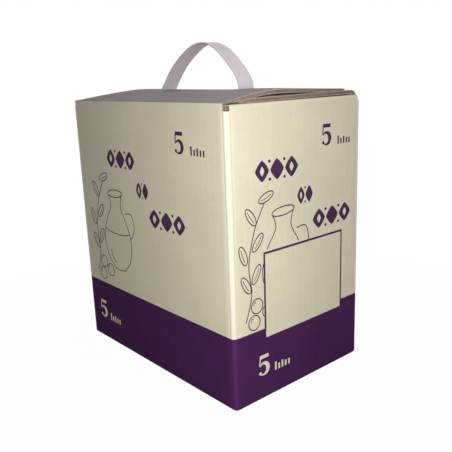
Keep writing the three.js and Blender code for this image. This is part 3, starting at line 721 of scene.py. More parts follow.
def hinge_skin(sheets, flap, sizes, finishes):
    """The outer liner where it runs over the crease: up the wall, round, and onto the flap.

    A thin closed sheet: one line in the XZ plane with the flap's own height at each place.
    """
    half_x, reach = sizes.width / 2, sizes.depth / 2 - SLOT_REACH
    y = strips(-reach, reach, PANEL_STEP)
    wall_z = (213.5, 215.5, 217.5, 218.8, 219.4)
    fold = ((-0.05, 219.8), (0.12, 220.1), (0.42, 220.32))
    distance = (0.9, 1.6, 2.6, 4.0, 5.6)
    rows, skin = [], []
    for z in wall_z:
        rows.append(points_at(-half_x - SKIN_LIFT, y, z))
        skin.append((0.06, 0, 0))
    for x, z in fold:
        rows.append(points_at(x - half_x, y, z))
        skin.append((0.05, 0, -0.05))
    for d in distance:
        top = np.maximum(outer_flap_top(flap, sizes, d, y), SKIN_LOWEST)
        rows.append(points_at(d - half_x, y, top + SKIN_LIFT))
        skin.append((0, 0, -0.06))
    outside = np.stack(rows)
    inside = outside + np.array(skin)[:, None, :]
    outer_kinds = np.where(np.arange(len(rows) - 1) < len(wall_z) + 1, finishes[0], finishes[1])
    columns = len(y) - 1
    sheets.add_grid(outside, np.repeat(outer_kinds, columns))
    sheets.add_grid(inside, finishes[1])
    i, j = border_loop(len(rows), len(y))
    sheets.add_grid(np.stack([outside[i, j], inside[i, j]]), finishes[1], close_columns=True)


def smooth_line(points, steps):
    """A curve through the points: a cubic between each pair, with slopes from the neighbours."""
    points = np.asarray(points, float)
    at = np.linspace(0, len(points) - 1, steps + 1)
    index = np.minimum(at.astype(int), len(points) - 2)
    t = (at - index)[:, None]
    before = points[np.maximum(index - 1, 0)]
    after = points[np.minimum(index + 2, len(points) - 1)]
    here, there = points[index], points[index + 1]
    slope_here, slope_there = (there - before) / 2, (after - here) / 2
    return (
        (2 * here - 2 * there + slope_here + slope_there) * t**3
        + (-3 * here + 3 * there - 2 * slope_here - slope_there) * t**2
        + slope_here * t
        + here
    )


# The strap's bow, as shares of its span and of its rise
STRAP_BOW = (
    (0, 0),
    (0, 0.08),
    (0.006, 0.17),
    (0.03, 0.3),
    (0.095, 0.49),
    (0.2, 0.735),
    (0.3, 0.9),
    (0.4, 0.99),
    (0.5, 0.985),
    (0.6, 0.905),
    (0.735, 0.715),
    (0.85, 0.49),
    (0.94, 0.25),
    (0.988, 0.11),
    (1, 0.05),
    (1, 0),
)


def carry_strap(sheets, strap, sizes, finish):
    """The strap: an outline with round edges, swept along tab, bend, bow, bend and tab.

    The section is a flat oval; it widens at both ends to the heads, and a small cosine along the
    inner side makes the ribs.
    """
    tab_z = float(lower_flap_top(sizes.width)) + REST_GAP + strap.thickness / 2
    bend_top = tab_z + BEND_RADIUS
    bow = np.array(STRAP_BOW, float)
    span, rise = REAR_FOOT - FRONT_FOOT, strap.apex - bend_top
    bow = smooth_line(bow * (span, rise) + (FRONT_FOOT, bend_top), 56)
    front = quarter(FRONT_FOOT - BEND_RADIUS, bend_top, BEND_RADIUS, 270, 360)
    rear = quarter(REAR_FOOT + BEND_RADIUS, bend_top, BEND_RADIUS, 180, 270)
    tabs = [(FRONT_FOOT - TAB_LENGTH, tab_z)], [(REAR_FOOT + TAB_LENGTH, tab_z)]
    line = np.vstack([tabs[0], front[:-1], bow, rear[1:], tabs[1]])
    run = run_along(line)
    heads = np.array([HEAD_LENGTH, HEAD_LENGTH + STRAP_STEP])
    at = strips(0, run[-1], STRAP_STEP, *heads, *(run[-1] - heads))
    path = places_on(line, run, at)
    slope = np.pad(np.gradient(path, at, axis=0), ((3, 3), (0, 0)), "edge")
    kernel = np.ones(7) / 7
    slope = unit(points_at(*[np.convolve(part, kernel, "valid") for part in slope.T]))
    end = np.minimum(at, run[-1] - at)
    half = np.where(end <= HEAD_LENGTH, HEAD_WIDTH, strap.width) / 2
    angle = np.linspace(0, 2 * math.pi, 28, endpoint=False)
    wide, thick = signed_power(np.cos(angle), 0.3), signed_power(np.sin(angle), 0.55)
    rib = RIB_HALF_HEIGHT * (1 + np.cos(2 * math.pi * at / strap.rib_pitch))
    rib = np.where(end > TAB_LENGTH + 3, rib, 0)
    rise = thick[:, None] * strap.thickness / 2 + (thick < -0.5)[:, None] * rib
    y, z = path[:, 0] - rise * slope[:, 1], path[:, 1] + rise * slope[:, 0]
    points = points_at(wide[:, None] * half, y, z)
    sheets.add_grid(points, finish, close_rows=True)
    first = np.arange(len(angle) // 2)
    opposite = np.stack([first, len(angle) - 1 - first])
    for end in (0, -1):
        sheets.add_grid(points[opposite, end], finish)


def filled_bag(sheets, finish):
    """The film bag: a block with round edges, pressed flat by the walls, with creased film.

    Points on a ball are pushed out to a rounded block; folded sine waves press creases into it,
    and a round dent at the rear makes room for the tap.
    """
    polar = np.linspace(0, math.pi, 151)[:, None]
    turn = np.linspace(0, 2 * math.pi, 240, endpoint=False)[None]
    ray = points_at(np.sin(polar) * np.cos(turn), np.sin(polar) * np.sin(turn), np.cos(polar))
    core = np.array(BAG_HALF) - BAG_RADIUS
    reach = core / np.maximum(np.abs(ray), 1e-6)
    out = ray * (np.min(reach, axis=-1, keepdims=True) + 2 * BAG_RADIUS)
    nearest = np.clip(out, -core, core)
    x, y, z = np.moveaxis(nearest, -1, 0)
    crease = np.abs(np.sin(0.11 * x + 0.06 * z + 1.3 * np.sin(0.05 * y)))
    crease = np.minimum(crease, np.abs(np.sin(0.09 * y - 0.07 * z + 1.1 * np.sin(0.06 * x))))
    fine = np.abs(np.sin(0.31 * x + 0.23 * y + 0.19 * z + np.sin(0.13 * z)))
    sink = 1.4 * np.exp(-crease * 5) + 0.5 * np.exp(-fine * 4) + 0.15
    point = nearest + unit(out - nearest) * (BAG_RADIUS - sink)[..., None]
    x, y, z = np.moveaxis(point, -1, 0)
    z = z + BAG_MIDDLE
    share = np.clip((POCKET_RADIUS - np.hypot(x, z - TAP_HEIGHT)) / POCKET_SLOPE, 0, 1)
    share = share * share * (3 - 2 * share)
    y = np.where(y > POCKET_START, y + (POCKET_WALL - y) * share, y)
    sheets.add_grid(points_at(x, y, z), finish, close_columns=True)


# Print: ornaments as flat outlines on the walls. Boxes are left, top, right and bottom in mm,
# and a lozenge's hollow is a share of its width and height
LABEL_CLEAR = (30.4, 105.6, 118, 171)
LABEL_FRAME = (
    (30.1, 105.4, 31.8, 166),
    (116.6, 105.4, 118.2, 166),
    (31.8, 105.4, 116.6, 107.1),
)
LINE_WIDTH = 0.85
HOLLOW_WIDE, HOLLOW_HIGH = 0.315, 0.45
BOLD_POWER = 1.6


def face_point(sizes, side, u, v, lift):
    """A place on a wall: u mm from its left edge, v mm below its top fold, seen from outside."""
    width = (sizes.width, sizes.depth)[side % 2]
    along = u - width / 2
    z = sizes.fold_height - v
    off = (sizes.depth, sizes.width)[side % 2] / 2
    off = off + wall_swell(sizes, np.full(np.shape(u), side), along, z) + lift
    seen = {FRONT: (along, -off), RIGHT: (off, along), REAR: (-along, off), LEFT: (-off, -along)}
    return points_at(*seen[side], z)


def outside_box(points, box):
    """Which points of a line lie outside a box of u and v."""
    if box is None:
        return np.ones(len(points), bool)
    left, top, right, bottom = box
    u, v = points[:, 0], points[:, 1]
    return (u < left) | (u > right) | (v < top) | (v > bottom)


class Print:
    """Ink on one wall: strokes and filled outlines at places in mm on the wall."""

    def __init__(self, sheets, sizes, side, finish, clear=None):
        self.sheets, self.sizes, self.side = sheets, sizes, side
        self.finish, self.clear = finish, clear

    def patch(self, points, finish=None):
        """A band of ink between lines of u and v: (lines, places, 2)."""
        u, v = np.moveaxis(np.asarray(points, float), -1, 0)
        placed = face_point(self.sizes, self.side, u, v, INK_LIFT)
        self.sheets.add_grid(placed, self.finish if finish is None else finish)

    def stroke(self, line, width, finish=None):
        """A line of ink: its points moved to both sides by half the width, blank in the label."""
        line = np.asarray(line, float)
        slope = unit(np.gradient(line, axis=0))
        across = points_at(-slope[:, 1], slope[:, 0]) * np.reshape(width, (-1, 1)) / 2
        shown = outside_box(line, self.clear)
        starts = np.flatnonzero(np.diff(np.concatenate([[0], shown.astype(int), [0]])))
        for first, last in starts.reshape(-1, 2):
            if last - first > 1:
                run = slice(first, last)
                self.patch([line[run] - across[run], line[run] + across[run]], finish)

    def bar(self, left, top, right, bottom, finish=None):
        """An upright rectangle."""
        u = np.linspace(left, right, int((right - left) / 8) + 2)
        v = np.linspace(top, bottom, int((bottom - top) / 8) + 2)
        self.patch(points_at(*np.meshgrid(u, v, indexing="ij")), finish)

    def lozenge(self, u, v, half_u, half_v, power=1.35):
        """A filled lozenge with curved sides."""
        wide, high = half_lozenge(half_u, half_v, power)
        self.patch([points_at(u - wide, v + high), points_at(u + wide, v + high)])

    def hollow_lozenge(self, u, v, half_u, half_v, power):
        """A lozenge with a smaller one left out: each half lies between two outlines."""
        wide, high = half_lozenge(half_u, half_v, power)
        for sign in (-1, 1):
            outer = points_at(u + sign * wide, v + high)
            inner = points_at(u + sign * wide * HOLLOW_WIDE, v + high * HOLLOW_HIGH)
            self.patch([inner, outer])

    def loop(self, u, v, half_u, half_v, width, start=0, stop=360, turn=0):
        """A stroke round an ellipse or part of one, turned by an angle in degrees."""
        angle = np.radians(np.linspace(start, stop, max(8, int((stop - start) / 7))))
        a, b = half_u * np.cos(angle), half_v * np.sin(angle)
        c, s = math.cos(math.radians(turn)), math.sin(math.radians(turn))
        self.stroke(points_at(u + a * c - b * s, v + a * s + b * c), width)

    def five(self, left, top, h, finish=None):
        """A plain figure five, h high: a flag, a stem, a bowl that swells in the middle, a dot."""
        self.bar(left + 0.2 * h, top, left + 0.72 * h, top + 0.17 * h, finish)
        self.stroke([(left + 0.22 * h, top), (left + 0.16 * h, top + 0.48 * h)], 0.07 * h, finish)
        angle = np.radians(np.linspace(-148, 128, 36))
        u = left + (0.4 + 0.27 * np.cos(angle)) * h
        v = top + (0.68 + 0.28 * np.sin(angle)) * h
        width = (0.06 + 0.17 * np.sin(np.linspace(0, math.pi, 36)) ** 2) * h
        self.stroke(points_at(u, v), width, finish)
        angle = np.radians(np.linspace(0, 180, 15))
        u = left + (0.2 + 0.08 * np.cos(angle)) * h
        swell = 0.08 * h * np.sin(angle)
        self.patch([points_at(u, top + 0.86 * h + sign * swell) for sign in (-1, 1)], finish)

    def tally(self, left, top, height, finish=None):
        """A row of short bars, as a plain measure beside the figure."""
        for k, share in enumerate((1.0, 0.68, 0.86, 0.68, 0.68)):
            start = left + k * height * 0.53
            self.bar(start, top + height * (1 - share), start + height * 0.27, top + height, finish)

    def ornaments(self, left, top, step, half_u, half_v, count):
        """A row of bold lozenges, hollow and full by turns, with small ones between their tips."""
        for k in range(count):
            u = left + half_u + k * step
            draw = self.hollow_lozenge if k % 2 == 0 else self.lozenge
            draw(u, top + half_v, half_u, half_v, power=BOLD_POWER)
            if k:
                for v in (top + 0.16 * half_v, top + 1.84 * half_v):
                    self.lozenge(u - step / 2, v, 0.2 * half_u, 0.16 * half_v)

    def drawing(self, left, top):
        """A jug with a spray of leaves and round fruit, in thin lines."""

        def line(points, steps=40):
            self.stroke(smooth_line(points, steps) + (left, top), LINE_WIDTH)

        def ring(u, v, half_u, half_v, share=1.0, **more):
            self.loop(u + left, v + top, half_u, half_v, LINE_WIDTH * share, **more)

        line([(30, 16), (33, 26), (24, 40), (19, 56), (23, 72), (31, 80)])
        line([(52, 14), (49, 26), (57, 40), (62, 56), (58, 72), (50, 80)])
        ring(41, 14.5, 11.5, 3.2, turn=-4)
        ring(40.5, 80, 10, 2.6, stop=180)
        ring(40.5, 46, 20, 4.2, start=8, stop=172)
        line([(55, 30), (65, 30), (68, 42), (61, 52)])
        line([(27, 66), (31, 74), (36, 77)], 16)
        line([(2, 90), (8, 70), (6, 48), (12, 24), (22, 6)], 50)
        leaves = ((3, 62, 60), (13, 56, -62), (1, 40, 70), (15, 33, -50), (9, 14, 55), (24, 2, -20))
        for u, v, turn in leaves:
            ring(u, v, 7.5, 3.0, turn=turn)
            ring(u, v, 5.0, 0.6, 0.7, stop=180, turn=turn)
        for u, v in ((13, 80), (24, 86), (10, 92)):
            ring(u, v, 5.6, 5.6)
            ring(u - 1.6, v - 1.8, 1.6, 1.6, 0.7, start=150, stop=290)


def half_lozenge(half_u, half_v, power):
    """Half of a lozenge's outline, top to foot: sine and cosine raised to a power."""
    angle = np.linspace(0, math.pi, 33)
    wide, high = signed_power(np.sin(angle), power), signed_power(np.cos(angle), power)
    return half_u * wide, -half_v * high


def print_long(ink, pale):
    """The long walls: figure, three rows of ornaments on a diagonal, drawing, mark in the band."""
    ink.five(147, 20, 16)
    ink.tally(167, 29.5, 6.5)
    ink.ornaments(51, 39, 14.6, 6.6, 7.5, 3)
    ink.ornaments(93.5, 62.5, 9.0, 4.0, 6.6, 2)
    ink.ornaments(110, 82, 16.0, 7.2, 7.5, 3)
    ink.drawing(18, 62)
    ink.five(14.5, 182, 17, pale)
    ink.tally(33.5, 192, 7, pale)


def print_front(ink, pale):
    """The front wall: the same print set closer, with a framed blank label over its foot."""
    ink.five(92, 20.5, 16)
    ink.tally(112, 30.5, 6.3)
    ink.ornaments(24, 40, 14.8, 6.7, 7.5, 3)
    ink.ornaments(66, 64, 9.0, 4.0, 6.4, 2)
    ink.ornaments(83, 84, 15.6, 7.1, 7.5, 3)
    ink.drawing(10, 64)
    ink.five(21.5, 184, 16.5, pale)
    ink.tally(40, 194, 6.8, pale)
    for box in LABEL_FRAME:
        ink.bar(*box)


def print_rear(ink, pale, dark):
    """The rear wall: the band's mark, one row of ornaments, and the ring of cuts for the tap."""
    ink.ornaments(48, 84, 15.6, 7.1, 7.5, 3)
    ink.five(8, 184, 16.5, pale)
    ink.tally(26, 194, 6.8, pale)
    for k in range(KNOCKOUT_CUTS):
        angle = (k + np.linspace(-0.36, 0.36, 6)) * 2 * math.pi / KNOCKOUT_CUTS
        u = ink.sizes.width / 2 + KNOCKOUT_RADIUS * np.sin(angle)
        v = FOLD_HEIGHT - TAP_HEIGHT - KNOCKOUT_RADIUS * np.cos(angle)
        ink.stroke(points_at(u, v), 0.7, dark)


# Finishes: spans of |x| and |y| over which a painted highlight pales the strip along each corner,
# how much the band's edge falls along x, and the label's place on the front wall, all in metres
CORNER_X = (0.0652, 0.0692)
CORNER_Y = (0.0945, 0.1018)
CORNER_HIGHLIGHT = (1.0, 0.98, 0.86, 1.0)
BAND_SLOPE = 0.0165
LABEL_FRONT, LABEL_MIDDLE, LABEL_HALF, LABEL_FOOT = -0.1, 0.00415, 0.0426, 0.049


def node(tree, kind, links=None, **settings):
    """One node; links maps an input to a socket or a plain value."""
    made = tree.nodes.new(kind)
    for key, value in settings.items():
        setattr(made, key, value)
    for key, value in (links or {}).items():
        if isinstance(value, bpy.types.NodeSocket):
            tree.links.new(value, made.inputs[key])
        else:
            made.inputs[key].default_value = value
    return made


def maths(tree, operation, *values):
    """A Math node's result from one, two or three values."""
    return node(tree, "ShaderNodeMath", dict(enumerate(values)), operation=operation).outputs[0]


def times(tree, a, b):
    """The product of two values."""
    return maths(tree, "MULTIPLY", a, b)


def mixed(tree, share, a, b):
    """Colour a where share is 0 and b where it is 1."""
    made = node(tree, "ShaderNodeMix", {0: share, 6: a, 7: b}, data_type="RGBA")
    return made.outputs[2]


def light(values, factor=1.0):
    """A colour property as four numbers, made lighter or darker."""
    return (*[min(1.0, v * factor) for v in values], 1.0)


def noise(tree, where, scale, detail=4.0, roughness=0.6, stretch=None):
    """Noise on object coordinates, stretched by a scale for each axis if given."""
    if stretch is not None:
        where = node(tree, "ShaderNodeMapping", {"Vector": where, "Scale": stretch}).outputs[0]
    links = {"Vector": where, "Scale": scale, "Detail": detail, "Roughness": roughness}
    return node(tree, "ShaderNodeTexNoise", links).outputs["Fac"]


def spread(tree, value, low, high, to_low=0.0, to_high=1.0):
    """A value stretched from one span to another, held at its ends."""
    links = {"Value": value, 1: low, 2: high, 3: to_low, 4: to_high}
    return node(tree, "ShaderNodeMapRange", links).outputs[0]


def tinted(tree, shade, tint, value, low, high, most=1.0):
    """A tint over a shade where value climbs from low to high, up to a share of most."""
    return mixed(tree, spread(tree, value, low, high, 0.0, most), shade, tint)


def bumped(tree, height, distance, strength=1.0, under=None):
    """A Bump node's normal; distance is in metres."""
    links = {"Height": height, "Distance": distance, "Strength": strength}
    if under is not None:
        links["Normal"] = under
    return node(tree, "ShaderNodeBump", links).outputs[0]


def new_finish(name, paint, *values, **fixed):
    """A material: paint fills the shader's linked sockets, fixed sets its plain ones."""
    made = bpy.data.materials.new(name)
    made.use_nodes = True
    tree = made.node_tree
    shader = tree.nodes["Principled BSDF"]
    where = node(tree, "ShaderNodeTexCoord").outputs["Object"]
    for key, value in fixed.items():
        shader.inputs[key.replace("_", " ")].default_value = value
    for key, socket in paint(tree, where, *values).items():
        tree.links.new(socket, shader.inputs[key])


def flute_wave(tree, where):
    """Faint upright lines that the flutes press into the liner: a sine of x plus y."""
    parts = node(tree, "ShaderNodeSeparateXYZ", {0: where}).outputs
    along = maths(tree, "ADD", parts[0], parts[1])
    return maths(tree, "SINE", times(tree, along, 2 * math.pi / (FLUTE_PITCH * MM)))


def fibres(tree, where):
    """Short paper fibres: two fine noises stretched two ways."""
    one = noise(tree, where, 520, stretch=(1.0, 1.0, 0.25))
    two = noise(tree, where, 640, stretch=(0.3, 0.3, 1.0))
    return times(tree, maths(tree, "ADD", one, two), 0.5)


def paint_printed(tree, where, colours, sizes):
    """Cream print, the dark band with its edge a little out of level, the pale label, and a painted
    highlight at the corners.
    """
    x, y, z = node(tree, "ShaderNodeSeparateXYZ", {0: where}).outputs
    pale, dark = colours.cream, colours.purple
    blotch, fibre = noise(tree, where, 26, 5.0), fibres(tree, where)
    # The crease mask is the strip down each upright corner: a painted highlight that pales the
    # cream and lightens the band.
    across = spread(tree, maths(tree, "ABSOLUTE", x), *CORNER_X)
    beside = spread(tree, maths(tree, "ABSOLUTE", y), *CORNER_Y)
    crease = times(tree, across, beside)
    cream = tinted(tree, light(pale), light(pale, 0.93), blotch, 0.35, 0.7)
    cream = tinted(tree, cream, light(pale, 0.86), fibre, 0.42, 0.62, 0.3)
    cream = mixed(tree, times(tree, crease, 0.65), cream, CORNER_HIGHLIGHT)
    purple = tinted(tree, light(dark), light(dark, 0.8), blotch, 0.3, 0.75)
    purple = tinted(tree, purple, light(dark, 1.5), fibre, 0.55, 0.75, 0.35)
    purple = mixed(tree, times(tree, crease, 0.22), purple, light(dark, 2.2))
    level = maths(tree, "ADD", z, times(tree, x, BAND_SLOPE))
    edge = maths(tree, "ADD", level, times(tree, noise(tree, where, 300), 0.0002))
    height = sizes.band_height * MM
    band = spread(tree, edge, height + 0.00015, height - 0.00005)
    on_front = maths(tree, "LESS_THAN", y, LABEL_FRONT)
    in_label = maths(tree, "COMPARE", x, LABEL_MIDDLE, LABEL_HALF)
    above = maths(tree, "GREATER_THAN", z, LABEL_FOOT)
    label = times(tree, times(tree, on_front, in_label), above)
    band = times(tree, band, maths(tree, "SUBTRACT", 1.0, label))
    wave = bumped(tree, flute_wave(tree, where), 0.00004, 0.5)
    return {
        "Base Color": mixed(tree, band, cream, purple),
        "Roughness": spread(tree, fibre, 0.3, 0.7, 0.62, 0.5),
        "Normal": bumped(tree, fibre, 0.00006, 0.5, wave),
    }


def paint_paper(tree, where, base, contrast=0.1):
    """Bare paper: soft blotches, fibres and a few darker specks."""
    blotch, fibre = noise(tree, where, 18, 5.0), fibres(tree, where)
    speck = noise(tree, where, 900, 2.0)
    shade = tinted(tree, light(base), light(base, 1 - contrast * 1.6), blotch, 0.3, 0.7)
    shade = tinted(tree, shade, light(base, 1 - contrast * 2.4), fibre, 0.4, 0.65, 0.6)
    wave = bumped(tree, flute_wave(tree, where), 0.00003, 0.3)
    return {
        "Base Color": tinted(tree, shade, light(base, 0.45), speck, 0.68, 0.74, 0.35),
        "Roughness": spread(tree, fibre, 0.3, 0.7, 0.9, 0.72),
        "Normal": bumped(tree, fibre, 0.00008, 0.6, wave),
    }


def paint_cut(tree, where, base):
    """A cut edge of board: torn fibres and short streaks along the cut."""
    streak = noise(tree, where, 700, 4.0, 0.7, (0.5, 0.5, 1.6))
    tear = noise(tree, where, 240, 3.0)
    shade = tinted(tree, light(base, 1.12), light(base, 0.66), streak, 0.35, 0.65)
    return {
        "Base Color": tinted(tree, shade, light(base, 0.55), tear, 0.5, 0.7, 0.5),
        "Roughness": spread(tree, streak, 0.3, 0.7, 0.95, 0.85),
        "Normal": bumped(tree, streak, 0.0002, 0.8),
    }


def paint_ink(tree, where, base):
    """Printed ink: near even, with paper fibres showing through a little."""
    fibre = fibres(tree, where)
    return {
        "Base Color": tinted(tree, light(base), light(base, 1.6), fibre, 0.5, 0.72, 0.35),
        "Roughness": spread(tree, fibre, 0.3, 0.7, 0.62, 0.5),
    }


def paint_strap(tree, where, base):
    """Milky plastic with drawn lines along it, faint clouding and painted shade along its long
    edges.
    """
    cloud = noise(tree, where, 60, 3.0)
    drawn = noise(tree, where, 500, 2.0, 0.5, (3.0, 0.2, 0.2))
    shade = tinted(tree, light(base), light(base, 0.9), cloud, 0.3, 0.7)
    # Painted shade: the colour darkens towards each long edge of the strap.
    x = node(tree, "ShaderNodeSeparateXYZ", {0: where}).outputs[0]
    aside = maths(tree, "ABSOLUTE", x)
    return {
        "Base Color": tinted(tree, shade, light(base, 0.5), aside, 0.0072, 0.008, 0.8),
        "Roughness": spread(tree, drawn, 0.3, 0.7, 0.3, 0.45),
        "Normal": bumped(tree, drawn, 0.00005, 0.5),
    }


def paint_film(tree, where, base):
    """Crumpled bright film: sharp small facets over soft folds."""
    cells = node(tree, "ShaderNodeTexVoronoi", {"Vector": where, "Scale": 70.0}).outputs["Distance"]
    fold = noise(tree, where, 34, 6.0, 0.65)
    return {
        "Base Color": tinted(tree, light(base), light(base, 0.8), fold, 0.3, 0.7),
        "Roughness": spread(tree, fold, 0.3, 0.7, 0.18, 0.34),
        "Normal": bumped(tree, cells, 0.0012, 0.5, bumped(tree, fold, 0.0015, 0.6)),
    }


def paint_moulded(tree, where, base):
    """Moulded plastic: fine grain, faint flow marks."""
    grain, flow = noise(tree, where, 1500, 2.0), noise(tree, where, 70, 4.0)
    return {
        "Base Color": tinted(tree, light(base), light(base, 0.88), flow, 0.3, 0.7),
        "Roughness": spread(tree, flow, 0.3, 0.7, 0.28, 0.42),
        "Normal": bumped(tree, grain, 0.00003, 0.4),
    }


def finish_named(name):
    """A finish that CARTON_OT_finishes made."""
    return bpy.data.materials[name]


BOARD_FINISHES = ("printed liner", "bare liner", "kraft liner", "cut liner", "cut flute")


def board_finishes():
    """The board's finishes in the order that the face numbers use."""
    return [finish_named(name) for name in BOARD_FINISHES]


PRINTED, BARE, KRAFT, CUT_LINER, CUT_FLUTE = range(5)
WALL_FACES = (PRINTED, KRAFT, CUT_LINER, CUT_FLUTE)
TOP_FACES = (BARE, KRAFT, CUT_LINER, CUT_FLUTE)


class CARTON_OT_finishes(bpy.types.Operator):
    """Make the finishes of board, print, plastic and film"""

    bl_idname = "carton.finishes"
    bl_label = "Finishes"

    def execute(self, context):
        colours = context.scene.carton_colours
        sizes = sizes_in_mm(context.scene.carton_sizes)
        new_finish("printed liner", paint_printed, colours, sizes, Specular_IOR_Level=0.01)
        new_finish("bare liner", paint_paper, colours.liner, Specular_IOR_Level=0.2)
        new_finish("kraft liner", paint_paper, colours.kraft, 0.14, Specular_IOR_Level=0.2)
        new_finish("cut liner", paint_cut, colours.cut_liner, Specular_IOR_Level=0.15)
        new_finish("cut flute", paint_cut, colours.cut_flute, Specular_IOR_Level=0.15)
        new_finish("purple ink", paint_ink, colours.ink, Specular_IOR_Level=0.03)
        new_finish("pale ink", paint_ink, colours.cream, Specular_IOR_Level=0.12)
        new_finish("knock-out cut", paint_cut, [c * 0.25 for c in colours.cut_flute])
        new_finish(
            "strap plastic",
            paint_strap,
            colours.strap,
            Subsurface_Weight=0.35,
            Subsurface_Scale=0.004,
            Subsurface_Radius=(1.0, 0.85, 1.0),
            Transmission_Weight=0.15,
            Specular_IOR_Level=0.45,
        )
        new_finish("bag film", paint_film, colours.film, Metallic=0.9)
        new_finish(
            "spout plastic",
            paint_moulded,
            colours.spout,
            Subsurface_Weight=0.15,
            Subsurface_Scale=0.002,
        )
        new_finish("tap plastic", paint_moulded, colours.tap)
        new_finish("button plastic", paint_moulded, colours.button, Coat_Weight=0.1)
        return {"FINISHED"}


class CARTON_OT_carton(bpy.types.Operator):
    """Build the folded carton: walls, bottom, dust flaps and lower top flap"""

    bl_idname = "carton.carton"
    bl_label = "Carton"

    def execute(self, context):
        sizes = sizes_in_mm(context.scene.carton_sizes)
        parts = {
            "carton_walls": (walls, hinge_wall),
            "dust_flap_front": (partial(dust_flap, sign=-1),),
            "dust_flap_rear": (partial(dust_flap, sign=1),),
            "lower_top_flap": (lower_flap,),
            "bottom_flaps": (bottom_flaps,),
            "glue_flap": (glue_flap,),
        }
        for name, shapes in parts.items():
            sheets = Sheets()
            for shape in shapes:
                shape(sheets, sizes, WALL_FACES)
            made = sheets.build(name, board_finishes())
            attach(made, CARTON_BODY)
            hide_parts("carton")
        return {"FINISHED"}


class CARTON_OT_print(bpy.types.Operator):
    """Lay the ornaments, the drawing and the label's frame on the walls"""

    bl_idname = "carton.print"
    bl_label = "Print"

    def execute(self, context):
        sizes = sizes_in_mm(context.scene.carton_sizes)
        sheets = Sheets()
        ink, pale, dark = range(3)
        print_long(Print(sheets, sizes, LEFT, ink), pale)
        print_long(Print(sheets, sizes, RIGHT, ink), pale)
        print_front(Print(sheets, sizes, FRONT, ink, LABEL_CLEAR), pale)
        print_rear(Print(sheets, sizes, REAR, ink), pale, dark)
        finishes = [finish_named(name) for name in ("purple ink", "pale ink", "knock-out cut")]
        made = sheets.build("carton_print", finishes, closed=False)
        turn_outwards(made)
        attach(made, CARTON_BODY)
        return {"FINISHED"}


# Print that lies further out along Y than this, in metres, is on a short wall
END_WALL = 0.1029


def turn_outwards(made):
    """Turns the faces of flat print so that each looks away from the carton's middle."""
    work = bmesh.new()
    work.from_mesh(made.data)
    wrong = []
    for face in work.faces:
        centre = face.calc_center_median()
        axis = 1 if abs(centre.y) > END_WALL else 0
        if face.normal[axis] * centre[axis] < 0:
            wrong.append(face)
    bmesh.ops.reverse_faces(work, faces=wrong)
    work.to_mesh(made.data)
    work.free()


class CARTON_OT_top_flap(bpy.types.Operator):
    """Build the outer top flap and the liner that runs over its crease"""

    bl_idname = "carton.top_flap"
    bl_label = "Outer top flap"

    def execute(self, context):
        sizes = sizes_in_mm(context.scene.carton_sizes)
        flap = sizes_in_mm(context.scene.carton_flap)
        sheets = Sheets()
        outer_flap(sheets, flap, sizes, TOP_FACES)
        made = sheets.build("outer_flap_board", board_finishes())
        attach(made, FLAP_BODY)
        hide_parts("outer_top_flap")
        skin = Sheets()
        hinge_skin(skin, flap, sizes, (PRINTED, BARE))
        made = skin.build("crease_liner", board_finishes(), smooth_degrees=60)
        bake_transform(made)
        return {"FINISHED"}


class CARTON_OT_strap(bpy.types.Operator):
    """Build the carry strap"""

    bl_idname = "carton.strap"
    bl_label = "Carry strap"

    def execute(self, context):
        sizes = sizes_in_mm(context.scene.carton_sizes)
        strap = sizes_in_mm(context.scene.carton_strap)
        sheets = Sheets()
        carry_strap(sheets, strap, sizes, 0)
        made = sheets.build("bowed_carry_strap", [finish_named("strap plastic")], smooth_degrees=50)
        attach(made, FLAP_BODY)
        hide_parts("carry_strap")
        return {"FINISHED"}


class CARTON_OT_filling(bpy.types.Operator):
    """Build the film bag, and give the spout and tap their finishes"""

    bl_idname = "carton.filling"
    bl_label = "Bag and tap"

    def execute(self, context):
        sheets = Sheets()
        filled_bag(sheets, 0)
        made = sheets.build("creased_film_bag", [finish_named("bag film")], smooth_degrees=60)
        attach(made, CARTON_BODY)
        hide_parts("filled_bag")
        plastics = {
            "bag_spout": "spout plastic",
            "valve_stem": "spout plastic",
            "tap_body": "tap plastic",
            "tap_button": "button plastic",
        }
        for name, finish in plastics.items():
            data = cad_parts[name].data
            if not data.materials:
                data.materials.append(finish_named(finish))
            for index in range(len(data.materials)):
                data.materials[index] = finish_named(finish)
        return {"FINISHED"}


# The camera's place in metres, its axes, and half the floor's width
CAMERA_PLACE = (-0.32341, -0.39525, 0.23838)
CAMERA_RIGHT = (0.75335, -0.65661, -0.0364)
CAMERA_UP = (0.18866, 0.16277, 0.96846)
CAMERA_BACK = (-0.62997, -0.73646, 0.2465)
FLOOR_HALF = 3.0

# Each lamp's diameter, tint, place and the place it faces, in metres
LAMPS = {
    "key": (0.07, (1.0, 0.985, 0.96), (-0.282, -0.372, 0.246), (0.0, 0.0, 0.13)),
    "top": (0.5, (1.0, 0.98, 0.99), (0.12, -0.22, 0.85), (0.0, 0.0, 0.22)),
    "rear": (0.3, (1.0, 0.99, 0.97), (0.42, 0.52, 0.26), (0.0, 0.0, 0.13)),
}


